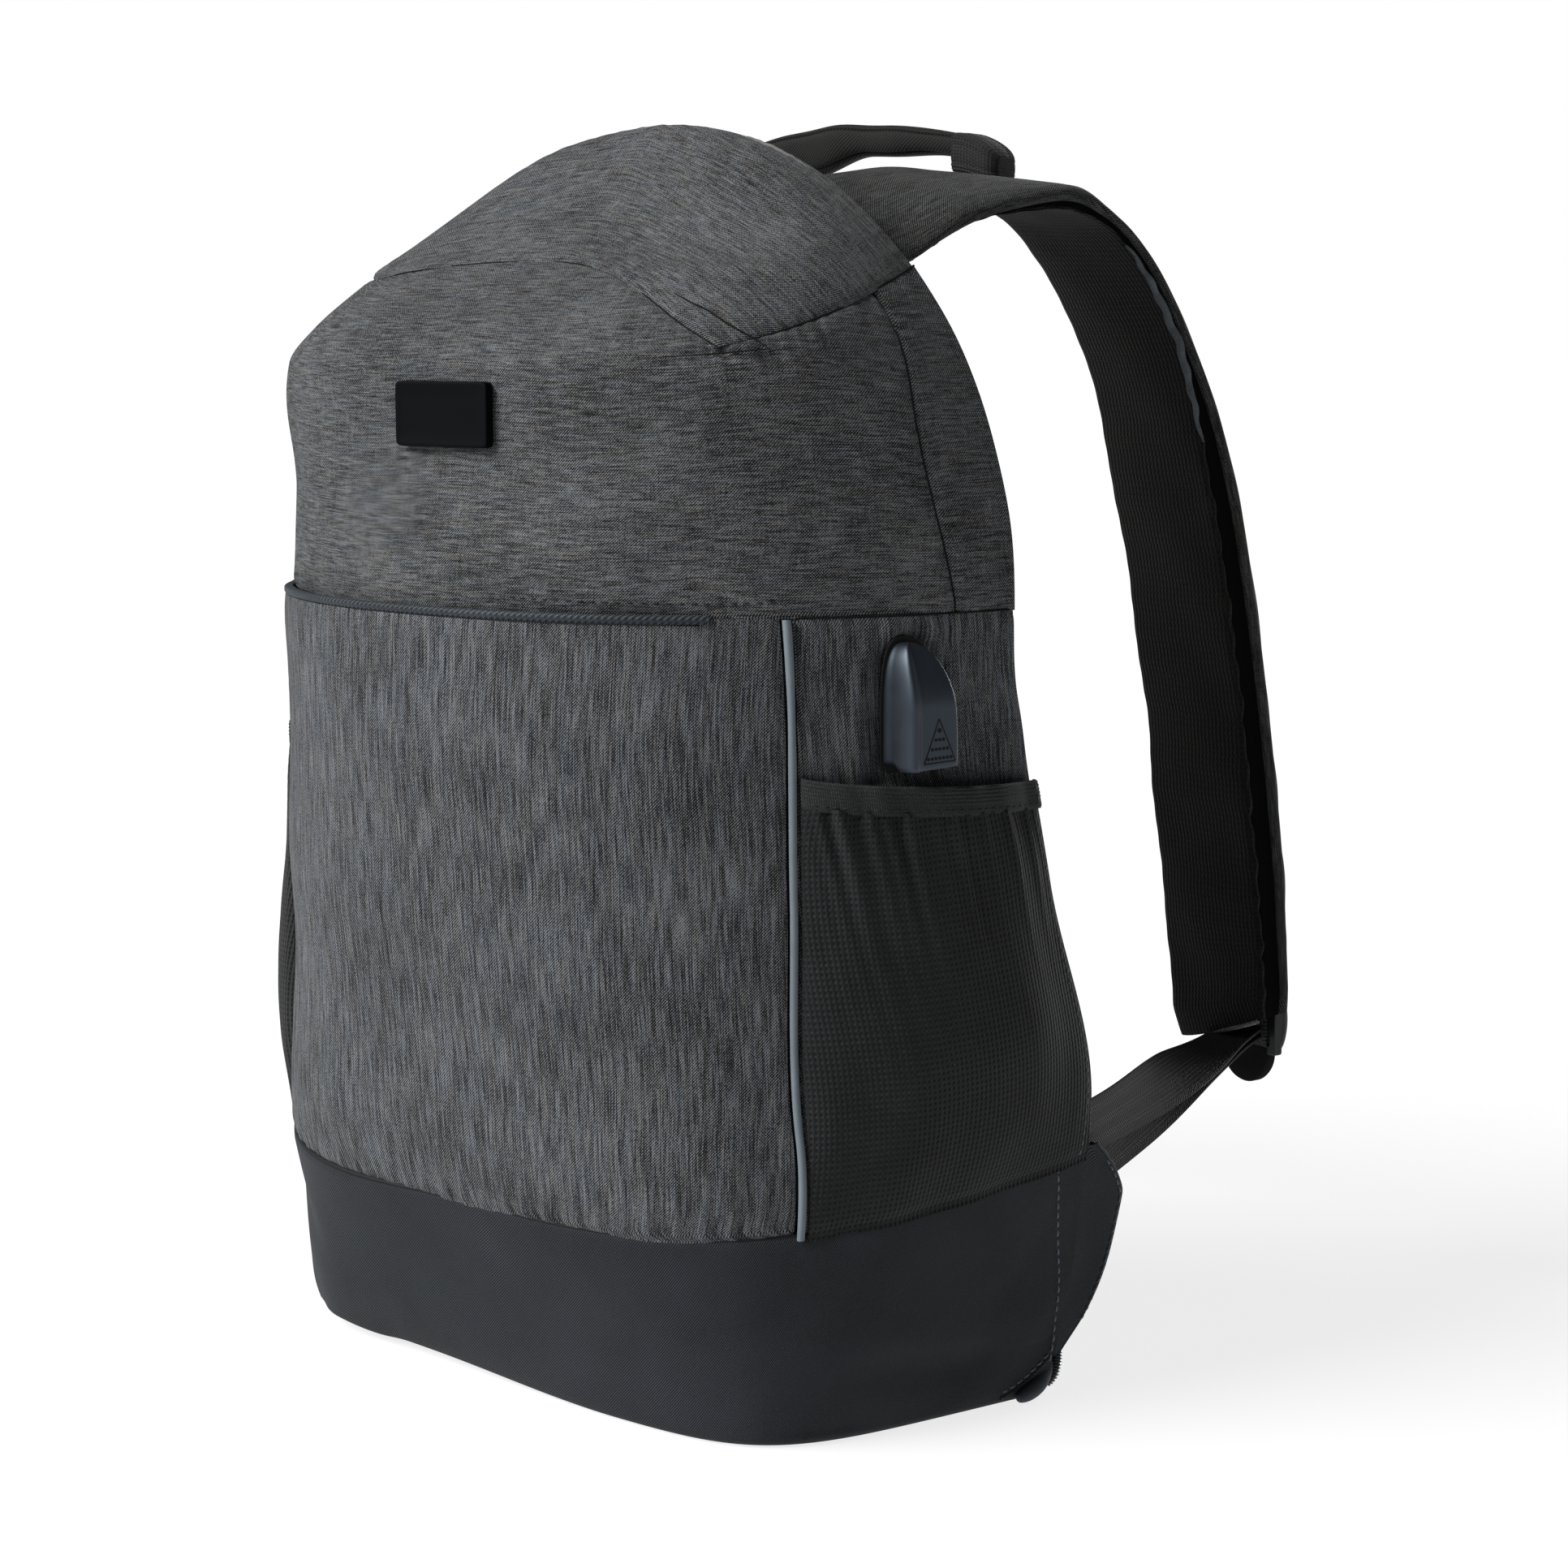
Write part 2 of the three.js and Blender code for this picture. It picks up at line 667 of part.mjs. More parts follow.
function mainZip() {
  const steps = 56;
  const rings = [];
  for (let i = 0; i <= steps; i += 1) {
    const outer = backOutline(i / steps, ZIP_INSET, ZIP_FOOT_Z);
    const inner = backOutline(i / steps, ZIP_INSET + ZIP_WIDE, ZIP_FOOT_Z);
    const [near, far] = [GAP, GAP + ZIP_THICK];
    const section = [[outer, near], [outer, far], [inner, far], [inner, near]];
    rings.push(section.map(([p, y]) => new THREE.Vector3(p.x, SECTIONS.rear(p.y) + y, p.y)));
  }
  return loft(rings);
}

function zipSlider() {
  const start = backOutline(SLIDER_SHARE, ZIP_INSET + ZIP_WIDE / 2, ZIP_FOOT_Z);
  const y = SECTIONS.rear(start.y) + ZIP_THICK + 2 * GAP;
  const body = [[-2.8, 0], [2.8, 0], [2.8, 3], [1.8, 4.2], [-1.8, 4.2], [-2.8, 3]];
  const heights = [[6, 0.7], [3, 1], [-6, 1], [-6.01, 0.62], [-24, 0.62], [-26, 0.4]];
  return loft(heights.map(([dz, wide]) => {
    const lean = SECTIONS.rear(start.y + dz) - SECTIONS.rear(start.y);
    return body.map(([x, out]) => new THREE.Vector3(start.x + x * wide, y + lean + out, start.y + dz));
  }));
}

// Padded back: flat towards the load, swelling towards the wearer away from its edge
function backPanel() {
  const [cols, rows] = [10, 16];
  const points = [];
  for (const front of [false, true]) {
    for (let j = 0; j <= rows; j += 1) {
      const edge = backOutline((j / rows) * 0.5, PANEL_INSET, 0);
      for (let i = 0; i <= cols; i += 1) {
        const x = edge.x * (1 - (2 * i) / cols);
        const rear = SECTIONS.rear(edge.y);
        const y = front ? GAP : PAD_EDGE_THICK + padSwell(x, edge.y);
        points.push(new THREE.Vector3(x, rear + y, edge.y));
      }
    }
  }
  return outward(solid(points, shellFaces(cols, rows)));
}

function padSwell(x, z) {
  const up = Math.max(z - SEAM_Z, 0) / (HEIGHT - SEAM_Z - PANEL_INSET);
  const across = Math.abs(x) / (halfWidth(Math.min(z, SEAM_Z)) - PANEL_INSET);
  const reach = Math.min((1 - Math.hypot(across, up)) * (SECTIONS.half(SEAM_Z) / PAD_EDGE), 1);
  return PAD_SWELL * Math.sqrt(Math.max(reach * (2 - reach), 0));
}

// Corner wing: a flat twill tab that carries on the base's side behind the back edge
function wing() {
  const place = (u, v) => {
    const z = THREE.MathUtils.lerp(WING.first, WING.last, v);
    const out = GAP + (WING.reach(z) - GAP) * (1 - u);
    return new THREE.Vector3(halfWidth(z) + WING_FLARE * out, SECTIONS.rear(z) + out, z);
  };
  return wall(place, 3, 9, WALL, true);
}

// Shoulder straps

// Frame of the strap at a row: centre of its mesh face, across (outwards), out (away from the wearer).
// At the root the strap lies square to the back, and turns to its splay over the first rows.
function strapFrame(way) {
  const at = (w) => new THREE.Vector2(STRAP.r(w), STRAP.z(w));
  const run = at(Math.min(way + 0.02, STRAP.last)).sub(at(Math.max(way - 0.02, 0))).normalize();
  const roll = THREE.MathUtils.degToRad(STRAP.roll(way));
  const splay = STRAP_SPLAY * THREE.MathUtils.smoothstep(way, 0, SPLAY_ROWS);
  const flat = new THREE.Vector3(Math.cos(splay), -Math.sin(splay), 0);
  const upright = inLoop(-run.y, run.x).sub(inLoop(0, 0));
  const across = flat.clone().multiplyScalar(Math.cos(roll)).addScaledVector(upright, -Math.sin(roll));
  const out = upright.multiplyScalar(Math.cos(roll)).addScaledVector(flat, Math.sin(roll));
  return { centre: inLoop(at(way).x, at(way).y).add(rootPoint()), across, out };
}

function inLoop(r, z) {
  return new THREE.Vector3(Math.sin(STRAP_SPLAY) * r, Math.cos(STRAP_SPLAY) * r, z);
}

function rootPoint() {
  return new THREE.Vector3(STRAP_ROOT.x, STRAP_ROOT.y, 0);
}

// A strap layer from a half-width share and thickness profile, lofted along the strap
function strapLayer(profile) {
  const rings = [];
  for (let i = 0; i <= STRAP_STEPS; i += 1) {
    const way = (i / STRAP_STEPS) * STRAP.last;
    const { centre, across, out } = strapFrame(way);
    rings.push(profile.map(([side, depth]) => centre.clone()
      .addScaledVector(across, (side * STRAP.wide(way)) / 2)
      .addScaledVector(out, depth * STRAP.thick(way))));
  }
  return loft(rings);
}

function strapPad() {
  const top = 1 - COVER_SHARE;
  return strapLayer([[-1, top], [-1, 0.2], [-0.92, 0.03], [-0.5, 0], [0.5, 0], [0.92, 0.03],
    [1, 0.2], [1, top]]);
}

function strapCover() {
  const foot = 1 - COVER_SHARE + 0.035;
  const [lap, shoulder] = [COVER_LAP, foot + 0.12];
  return strapLayer([[-lap, foot], [lap, foot], [lap, shoulder], [0.9, 0.97], [0.4, 1], [-0.4, 1],
    [-0.9, 0.97], [-lap, shoulder]]);
}

// Ladder lock: a moulded plate with two slots and a rounded thumb tab, against the strap end's cover
function ladderLock() {
  const half = LOCK_WIDE / 2;
  const shape = new THREE.Shape();
  shape.moveTo(-half, LOCK_TALL);
  shape.lineTo(-half, 0);
  shape.lineTo(-LOCK_TAB, 0);
  shape.absarc(0, 0, LOCK_TAB, Math.PI, Math.PI * 2, false);
  shape.lineTo(half, 0);
  shape.lineTo(half, LOCK_TALL);
  for (const foot of LOCK_SLOTS) {
    const slot = new THREE.Path();
    slot.moveTo(-LOCK_SLOT_WIDE / 2, foot);
    slot.lineTo(-LOCK_SLOT_WIDE / 2, foot + LOCK_SLOT_TALL);
    slot.lineTo(LOCK_SLOT_WIDE / 2, foot + LOCK_SLOT_TALL);
    slot.lineTo(LOCK_SLOT_WIDE / 2, foot);
    shape.holes.push(slot);
  }
  const solidPlate = { depth: LOCK_THICK, bevelEnabled: false, curveSegments: 8 };
  const plate = new THREE.ExtrudeGeometry(shape, solidPlate);
  const { across } = strapFrame(STRAP.last);
  const away = inLoop(1, 0);
  const corner = inLoop(LOCK_R, LOCK_TOP_Z - LOCK_TALL).add(rootPoint());
  const up = new THREE.Vector3(0, 0, 1);
  const turn = new THREE.Matrix4().makeBasis(across, up, across.clone().cross(up));
  plate.applyMatrix4(turn);
  plate.translate(corner.x, corner.y, corner.z);
  plate.translate(away.x * LOCK_THICK, away.y * LOCK_THICK, 0);
  return bareSolid(plate);
}

function bareSolid(geometry) {
  const bare = geometry.index ? geometry.toNonIndexed() : geometry;
  bare.deleteAttribute('normal');
  bare.deleteAttribute('uv');
  return outward(tidied(bare));
}

// Flat webbing along hand-set points: upright at the wing, turned flat at the lock and cut to its face
function webbing(points) {
  const path = new THREE.CatmullRomCurve3(points.map((p) => new THREE.Vector3(...p)));
  const steps = 16;
  const { across } = strapFrame(STRAP.last);
  const rings = [];
  for (let i = 0; i <= steps; i += 1) {
    const share = i / steps;
    const along = path.getTangent(share);
    const turn = THREE.MathUtils.smoothstep(share, 0.1, 0.95) * (Math.PI / 2);
    const wide = new THREE.Vector3(0, 0, Math.cos(turn)).addScaledVector(across, -Math.sin(turn));
    const square = 1 - THREE.MathUtils.smoothstep(share, 0.7, 1);
    wide.addScaledVector(along, -wide.dot(along) * square).normalize();
    const thick = along.clone().cross(wide).normalize();
    const centre = path.getPoint(share);
    const corner = [[-1, -1], [1, -1], [1, 1], [-1, 1]];
    rings.push(corner.map(([a, b]) => centre.clone()
      .addScaledVector(wide, (a * WEB_WIDE) / 2)
      .addScaledVector(thick, (b * WEB_THICK) / 2)));
  }
  return loft(rings);
}

// Carry handle

function handleGrip() {
  const steps = 14;
  const rings = [];
  for (let i = 0; i <= steps; i += 1) {
    const x = THREE.MathUtils.lerp(-GRIP_HALF, GRIP_HALF, i / steps);
    const z = GRIP_TOP_Z - GRIP_TALL / 2 - GRIP_SAG * (x / GRIP_HALF) ** 2;
    rings.push(ring(10, (c, s) => new THREE.Vector3(
      x,
      HANDLE_Y + (GRIP_DEEP / 2) * Math.sign(c) * Math.abs(c) ** GRIP_SQUARE,
      z + (GRIP_TALL / 2) * Math.sign(s) * Math.abs(s) ** GRIP_SQUARE,
    )));
  }
  return loft(rings);
}

// Folded webbing over each end of the grip, down to the strap's top
function handleEnd() {
  const place = (u, v) => {
    const x = THREE.MathUtils.lerp(SLEEVE_START, SLEEVE_END, v);
    const top = SLEEVE_TOP_Z - SLEEVE_DROP * v ** 3;
    const angle = Math.PI * THREE.MathUtils.clamp(u, 0, 1);
    const side = Math.sign(Math.cos(angle)) * Math.abs(Math.cos(angle)) ** SLEEVE_SQUARE;
    const rise = Math.sin(angle) ** SLEEVE_SQUARE;
    const z = THREE.MathUtils.lerp(SLEEVE_FOOT_Z, top, rise);
    return new THREE.Vector3(x, HANDLE_Y + (side * SLEEVE_DEEP) / 2, z);
  };
  const [cols, rows] = [10, 4];
  const points = [];
  for (const inset of [0, SLEEVE_WALL]) {
    for (let j = 0; j <= rows; j += 1) {
      for (let i = 0; i <= cols; i += 1) {
        const point = place(i / cols, j / rows);
        const share = 1 - (2 * inset) / SLEEVE_DEEP;
        point.y = HANDLE_Y + (point.y - HANDLE_Y) * share;
        const tall = place(0.5, j / rows).z - SLEEVE_FOOT_Z;
        point.z = SLEEVE_FOOT_Z + ((point.z - SLEEVE_FOOT_Z) * (tall - inset)) / tall;
        points.push(point);
      }
    }
  }
  return outward(solid(points, shellFaces(cols, rows)));
}

// Charging port hood: a pod with a round top that leans back, hollow and open at its foot
function usbHood() {
  const z = HOOD_FOOT_Z + HOOD_TALL / 2;
  const turn = turnAtY(HOOD_Y, z);
  const foot = pushed(turn, z, 0);
  const skin = (u, v) => bodyAt(turn + u, z + v * 10);
  const out = normalOf(skin, 0, 0).setZ(0).normalize();
  const along = new THREE.Vector3(-out.y, out.x, 0);
  const pod = (shrink, start, end) => {
    const rings = [];
    const levels = 9;
    for (let j = 0; j <= levels; j += 1) {
      const share = THREE.MathUtils.lerp(start, end, Math.sin((j / levels) * (Math.PI / 2)));
      const up = Math.max(share, 0);
      const narrow = Math.sqrt(Math.max(1 - up ** 4, 0.0025));
      const lean = (1 - 0.55 * up ** 2) * Math.sqrt(narrow);
      const half = Math.max((HOOD_WIDE / 2) * narrow - shrink, 0.4);
      const proud = Math.max(HOOD_PROUD * lean - shrink, 0.8);
      rings.push(podRing(half, proud).map(([a, b]) => foot.clone()
        .addScaledVector(along, a)
        .addScaledVector(out, b + HOOD_SEAT + Math.max(shrink - 1, 0))
        .setZ(HOOD_FOOT_Z + share * HOOD_TALL)));
    }
    return loft(rings);
  };
  return cut(pod(0, 0, 1), pod(HOOD_WALL, -0.1, HOOD_HOLLOW));
}

// Plan of the pod: flat against the bag, with rounded outer corners
function podRing(half, proud) {
  const corners = [[-1, 0], [1, 0], [1, 0.45], [0.88, 0.78], [0.55, 0.97], [-0.2, 1], [-0.62, 0.86],
    [-0.9, 0.5]];
  return corners.map(([a, b]) => [a * half, b * proud]);
}

function badge() {
  const [w, h, r] = [BADGE_WIDE / 2, BADGE_TALL / 2, BADGE_CORNER];
  const shape = new THREE.Shape();
  shape.moveTo(-w + r, -h);
  shape.absarc(w - r, -h + r, r, -Math.PI / 2, 0, false);
  shape.absarc(w - r, h - r, r, 0, Math.PI / 2, false);
  shape.absarc(-w + r, h - r, r, Math.PI / 2, Math.PI, false);
  shape.absarc(-w + r, -h + r, r, Math.PI, Math.PI * 1.5, false);
  const block = { depth: BADGE_THICK, bevelEnabled: false, curveSegments: 3 };
  const plate = new THREE.ExtrudeGeometry(shape, block);
  plate.rotateX(Math.PI / 2);
  plate.translate(0, bodyAt(Math.PI / 2, BADGE_Z).y - BADGE_SEAT, BADGE_Z);
  return bareSolid(plate);
}

// Finishes

const heather = new THREE.MeshStandardMaterial({ color: 0x55575a, roughness: 0.9, metalness: 0 });
const slate = new THREE.MeshStandardMaterial({ color: 0x50545b, roughness: 0.9, metalness: 0 });
const twill = new THREE.MeshStandardMaterial({ color: 0x2b2e33, roughness: 0.85, metalness: 0 });
const mesh = new THREE.MeshStandardMaterial({ color: 0x1c1d1f, roughness: 0.95, metalness: 0 });
const web = new THREE.MeshStandardMaterial({ color: 0x1a1b1a, roughness: 0.8, metalness: 0 });
const cordGrey = new THREE.MeshStandardMaterial({ color: 0x7d8690, roughness: 0.6, metalness: 0 });
const moulded = new THREE.MeshStandardMaterial({ color: 0x2c2f35, roughness: 0.45, metalness: 0 });
const rubber = new THREE.MeshStandardMaterial({ color: 0x14161a, roughness: 0.6, metalness: 0 });

// Assembly

const backpack = new THREE.Group();

function add(name, geometry, material) {
  const piece = new THREE.Mesh(geometry, material);
  piece.name = name;
  backpack.add(piece);
}

function addPair(name, geometry, material) {
  add(`${name}_right`, geometry, material);
  add(`${name}_left`, mirrored(geometry), material);
}

add('front_upper_panel', frontUpperPanel(), heather);
add('top_panel', topPanel(), heather);
add('back_gusset_right', backGusset(RIGHT), heather);
add('back_gusset_left', mirrored(backGusset(LEFT)), heather);
addPair('side_panel', sidePanel(), slate);
add('front_pocket_panel', frontPocketPanel(), slate);
add('front_wall', frontWall(), twill);
add('pocket_binding', pocketBinding(), twill);
addPair('piping', piping(), cordGrey);
addPair('mesh_pocket', meshPocket(), mesh);
addPair('mesh_binding', meshBinding(), web);
add('base', base(), twill);
add('back_panel', backPanel(), mesh);
add('main_zip', mainZip(), web);
add('zip_slider', zipSlider(), moulded);
addPair('wing', wing(), twill);
addPair('strap_pad', strapPad(), mesh);
addPair('strap_cover', strapCover(), heather);
addPair('ladder_lock', ladderLock(), moulded);
addPair('webbing', webbing(WEB_RUN), web);
addPair('webbing_tail', webbing(WEB_TAIL), web);
add('handle_grip', handleGrip(), twill);
addPair('handle_end', handleEnd(), web);
add('usb_hood', usbHood(), moulded);
add('badge', badge(), rubber);

export default backpack;
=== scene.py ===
import bmesh
import bpy
import numpy as np
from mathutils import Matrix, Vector


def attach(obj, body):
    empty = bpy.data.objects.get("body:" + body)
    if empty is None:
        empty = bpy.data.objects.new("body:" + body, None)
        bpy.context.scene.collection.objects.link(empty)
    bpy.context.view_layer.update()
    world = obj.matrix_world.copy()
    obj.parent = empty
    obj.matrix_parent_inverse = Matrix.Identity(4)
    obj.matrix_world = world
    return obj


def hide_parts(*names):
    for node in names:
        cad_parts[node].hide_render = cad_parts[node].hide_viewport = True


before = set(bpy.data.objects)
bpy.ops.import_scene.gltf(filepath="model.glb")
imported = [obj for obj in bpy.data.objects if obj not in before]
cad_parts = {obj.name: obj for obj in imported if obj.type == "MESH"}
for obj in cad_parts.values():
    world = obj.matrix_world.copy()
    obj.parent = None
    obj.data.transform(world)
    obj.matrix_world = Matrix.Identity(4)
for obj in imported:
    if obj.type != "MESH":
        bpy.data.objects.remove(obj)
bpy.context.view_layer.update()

# A soft daypack standing on its base. All shapes are worked out in millimetres in the frame of the
# solids: +Z up, the front towards -Y, the wearer's side towards +Y, +X to the bag's right.

MM = 0.001
PI = np.pi
UP = np.array([0, 0, 1.0])

# Body tables and sizes
HEIGHT = 450.0
SEAM_Z = 284.0
BACK_Y = 29.0
GAP = 0.3
PIPING_Y = -46.0
PIPING_RADIUS = 1.6
BASE_ROUND = 3.4
SECTIONS = np.array([
    (0, 153, 57, 115, 0.24, 6.5),
    (50, 158, 67, 138, 0.16, 4.2),
    (110, 164, 67, 154, 0.18, 3.2),
    (190, 160, 45, 140, 0.19, 2.6),
    (284, 156, 29, 124, 0.2, 2.35),
    (330, 156, 29, 111, 0.16, 2.8),
    (365, 156, 29, 110, 0.1, 3.3),
    (378, 156, 29, 98, 0.08, 3.4),
    (390, 156, 29, 80, 0.07, 3.5),
    (405, 156, 29, 55, 0.06, 3.5),
    (420, 156, 29, 34, 0.05, 3.5),
    (435, 156, 29, 19, 0.05, 3.5),
    (450, 156, 29, 2, 0.05, 3.5),
])
GUSSET = np.array([(284, 23.5), (345, 32), (386, 26), (450, 26)])
RIGHT_DROP = 30.0
LEFT_DROP = 5.0
HOOD_PEAK_Z = 401.0
HOOD_ARCH_POWER = 1.1
HOOD_CORNER_TURN = 0.8
HOOD_BACK_Z = 398.5
SLIT = 6.0
SLIT_REACH = 42.0
SLIT_TURN = 0.92
SLIT_EASE = 0.35
BINDING_TALL = 1.8
BASE_FRONT_Z = 74.0
BASE_FRONT_Y = -79.0
BASE_RISE = 0.105
MOUTH_FRONT_Z = 233.0
MOUTH_BACK_Z = 226.0
BAND_TALL = 10.0
MESH_WALL = 1.2
MESH_BULGE = 13.5
MOUTH_BULGE = 9.0
BELLY_SHARE = 0.45
BELLY_ROUND = 0.7
POCKET_MIDDLE_Z = 150.0
ZIP_INSET = 3.6
ZIP_WIDE = 6.0
ZIP_FOOT_Z = 4.0
SLIDER_SHARE = 0.78
PANEL_INSET = 10.5
PAD_EDGE_THICK = 2.0
PAD_SWELL = 6.0
PAD_EDGE = 32.0
WING = np.array([
    (14, 5.0), (27, 15.5), (45, 21.8), (60, 24.8), (68, 25.4), (77, 21.0), (87, 12.5), (91, 8.0),
])
WING_FLARE = 0.1
STRAP_ROOT = np.array([72.0, 37.0, 0.0])
STRAP_SPLAY = np.radians(16)
SPLAY_ROWS = 2.5
STRAP = np.array([
    (0, 3.2, 407.5, 22, 68, 9),
    (1, 18, 412, 19, 67, 10),
    (2, 45, 418.4, 13, 65, 11),
    (3, 76, 421, 7, 62, 11),
    (4, 98, 416, 4, 60, 11),
    (5, 116, 402, 1, 58, 11),
    (6, 132, 381, 0, 56, 11),
    (7, 146, 352, 0, 55, 12),
    (8, 160, 304, 0, 55, 12),
    (9, 173, 245, 0, 55, 12),
    (10, 183, 186, 0, 55, 12),
    (11, 191, 130, 0, 54, 11),
    (12, 195, 94, 0, 53, 11),
])
STRAP_LAST = 12.0
COVER_SHARE = 0.34
WEB_WIDE = 25.0
WEB_THICK = 1.6
WEB_SEEN = 20.5
WEB_RUN = [
    (158.8, 63, 94.8), (158, 78, 95.5), (151, 122, 96.5),
    (140, 172, 96.5), (132, 208, 97), (128.9, 234.6, 100),
]
WEB_TAIL = [
    (157.8, 64, 76.5), (152, 92, 79.5), (146, 128, 85),
    (136, 176, 91), (131, 210, 94), (128.9, 234.6, 97),
]
HANDLE_Y = 131.0
GRIP_HALF = 60.0
GRIP_TOP_Z = 455.5
GRIP_SAG = 6.5
LEFT_SAG = 4.2
GRIP_TALL = 12.8
GRIP_DEEP = 12.0
SLEEVE_DEEP = 17.0
PORT_Y = -10.9
PORT_FOOT_Z = 234.6
PORT_TALL = 41.0
PORT_WIDE = 21.4
PORT_LEAN = 3.2
PORT_TILT = 0.09
PORT_NOTCH = 2.4
PORT_PROUD = 14.0
PORT_SEAT = 0.7
PORT_WALL = 2.0
BADGE_WIDE = 43.0
BADGE_TALL = 22.0
BADGE_THICK = 3.2
BADGE_Z = 349.0
BADGE_SEAT = 0.8
CLOTH = 2.4
LAP = 0.15
BAND_WALL = 1.6
BASE_TUCK = 3.0
FRONT_EVEN_Z = 180.0
SEAM_STEPS = 12
FLOOR_ROWS = 15
TOE_DRAW = 7.0
TOE_LIFT = 2.4
HEEL_LIFT = 2.9


# Curves and small sums

def unit(v):
    """Each vector divided by its length."""
    return v / np.maximum(np.linalg.norm(v, axis=-1, keepdims=True), 1e-9)


def lerp(a, b, t):
    """Straight blend from a to b."""
    return a + (b - a) * t


def smoothstep(x, low, high):
    """Smooth rise from 0 at low to 1 at high: three times the square less twice the cube."""
    t = np.clip((x - low) / (high - low), 0, 1)
    return t * t * (3 - 2 * t)


def signed_power(v, power):
    """The size of a number raised to a power, with its sign kept."""
    return np.sign(v) * np.abs(v) ** power


def bell(x, wide):
    """Bell curve, 1 at zero: e to the minus square of x over its width."""
    return np.exp(-((x / wide) ** 2))


def full_turn(count):
    """Angles once round, evenly, without the last, which is the first again."""
    return np.linspace(0, 2 * PI, count, endpoint=False)


def shares(rows, cols):
    """Shares of the way across a grid's columns and up its rows."""
    return np.linspace(0, 1, cols + 1), np.linspace(0, 1, rows + 1)[:, None]


def round_about(count, a, b):
    """Unit circles in the planes of two directions, as points evenly round them."""
    angle = full_turn(count)[None, :, None]
    return np.cos(angle) * a + np.sin(angle) * b


def points_of(x, y, z):
    """Points from their coordinates, spread to one common shape."""
    return np.stack(np.broadcast_arrays(x, y, z), -1)


def length_along(path):
    """Length along a path from its start to each of its points."""
    return np.concatenate([[0], np.cumsum(np.linalg.norm(np.diff(path, axis=0), axis=1))])


def looked_up(want, run, rows):
    """Rows at wanted places of their run, by straight lines between them."""
    return np.stack([np.interp(want, run, rows[:, k]) for k in range(rows.shape[1])], 1)


def cubic(a, b, c, d, t):
    """Smooth curve from b to c, whose slope at each is half the step between its neighbours."""
    return b + 0.5 * t * (c - a + t * (2 * a - 5 * b + 4 * c - d + t * (3 * (b - c) + d - a)))


def monotone(key, value):
    """Smooth curve through points without overshoot: cubic pieces whose slope at a point is the
    harmonic mean of the rises on its two sides, and zero where these differ in sign."""
    key = np.asarray(key, float)
    value = np.asarray(value, float)
    rise = np.diff(value) / np.diff(key)
    slope = np.empty_like(value)
    slope[0], slope[-1] = rise[0], rise[-1]
    a, b = rise[:-1], rise[1:]
    slope[1:-1] = np.where(a * b > 0, 2 * a * b / np.where(a + b == 0, 1, a + b), 0)

    def curve(k):
        i = np.clip(np.searchsorted(key, k) - 1, 0, len(key) - 2)
        span = key[i + 1] - key[i]
        t = (k - key[i]) / span
        ease = t * t * (3 - 2 * t)
        bend = slope[i] * t * (1 - t) ** 2 - slope[i + 1] * t * t * (1 - t)
        return value[i] * (1 - ease) + value[i + 1] * ease + span * bend

    return curve


def columns(rows):
    """One monotone curve for each column of a table, by its first column."""
    return [monotone(rows[:, 0], rows[:, i]) for i in range(1, rows.shape[1])]


HALF, REAR, DEEP, TAPER, BOX = columns(SECTIONS)
(GUSSET_DEPTH,) = columns(GUSSET)
(WING_REACH,) = columns(WING)
STRAP_R, STRAP_Z, STRAP_ROLL, STRAP_WIDE, STRAP_THICK = columns(STRAP)


def through(points, count):
    """Smooth open curve of cubic pieces through given points, sampled evenly along its length."""
    p = np.asarray(points, float)
    ends = np.concatenate([[2 * p[0] - p[1]], p, [2 * p[-1] - p[-2]]])
    dense = 40 * (len(p) - 1)
    s = np.linspace(0, len(p) - 1, dense + 1)
    i = np.minimum(s.astype(int), len(p) - 2)
    t = (s - i)[:, None]
    return evenly(cubic(ends[i], ends[i + 1], ends[i + 2], ends[i + 3], t), count)


def evenly(path, count):
    """A path sampled again at equal steps of its length."""
    run = length_along(path)
    return looked_up(np.linspace(0, run[-1], count + 1), run, path)


RIPPLE_WAVES = 7
LINE_WAVES = 6


def ripples(a, b, seed, wave):
    """Smooth seeded noise about 1 high: the sum of sine waves in random directions and phases."""
    rng = np.random.default_rng(seed)
    turn = rng.uniform(0, 2 * PI, RIPPLE_WAVES)
    phase = rng.uniform(0, 2 * PI, RIPPLE_WAVES)
    number = 2 * PI / (wave * rng.uniform(0.7, 1.5, RIPPLE_WAVES))
    angle = a[..., None] * (number * np.cos(turn)) + b[..., None] * (number * np.sin(turn)) + phase
    return np.sin(angle).sum(-1) / np.sqrt(RIPPLE_WAVES / 2)


def ripple_line(along, seed, wave):
    """Smooth seeded noise along one line: a sum of sine waves of unlike lengths."""
    rng = np.random.default_rng(seed)
    number = 2 * PI / (wave * rng.uniform(0.6, 1.7, LINE_WAVES))
    phase = rng.uniform(0, 2 * PI, LINE_WAVES)
    return np.sin(along[..., None] * number + phase).sum(-1) / np.sqrt(LINE_WAVES / 2)


# Body surface

def half_width(z):
    """Half width of the back outline: the table's up to the seam, then half an ellipse."""
    up = np.clip((z - SEAM_Z) / (HEIGHT - SEAM_Z), 0, 1)
    return np.where(z <= SEAM_Z, HALF(np.maximum(z, 0)), HALF(SEAM_Z) * np.sqrt(1 - up * up))


def body(turn, z):
    """Outer face of the body at a turn (0 right back edge, a quarter front, a half left) and height:
    a superellipse in plan that narrows towards the front."""
    turn, z = np.broadcast_arrays(np.asarray(turn, float), np.asarray(z, float))
    power = 2 / BOX(z)
    back = np.maximum(np.sin(turn), 0) ** power
    side = signed_power(np.cos(turn), power)
    x = half_width(z) * (1 - TAPER(z) * back) * side
    return np.stack([x, REAR(z) - DEEP(z) * back, z], -1)


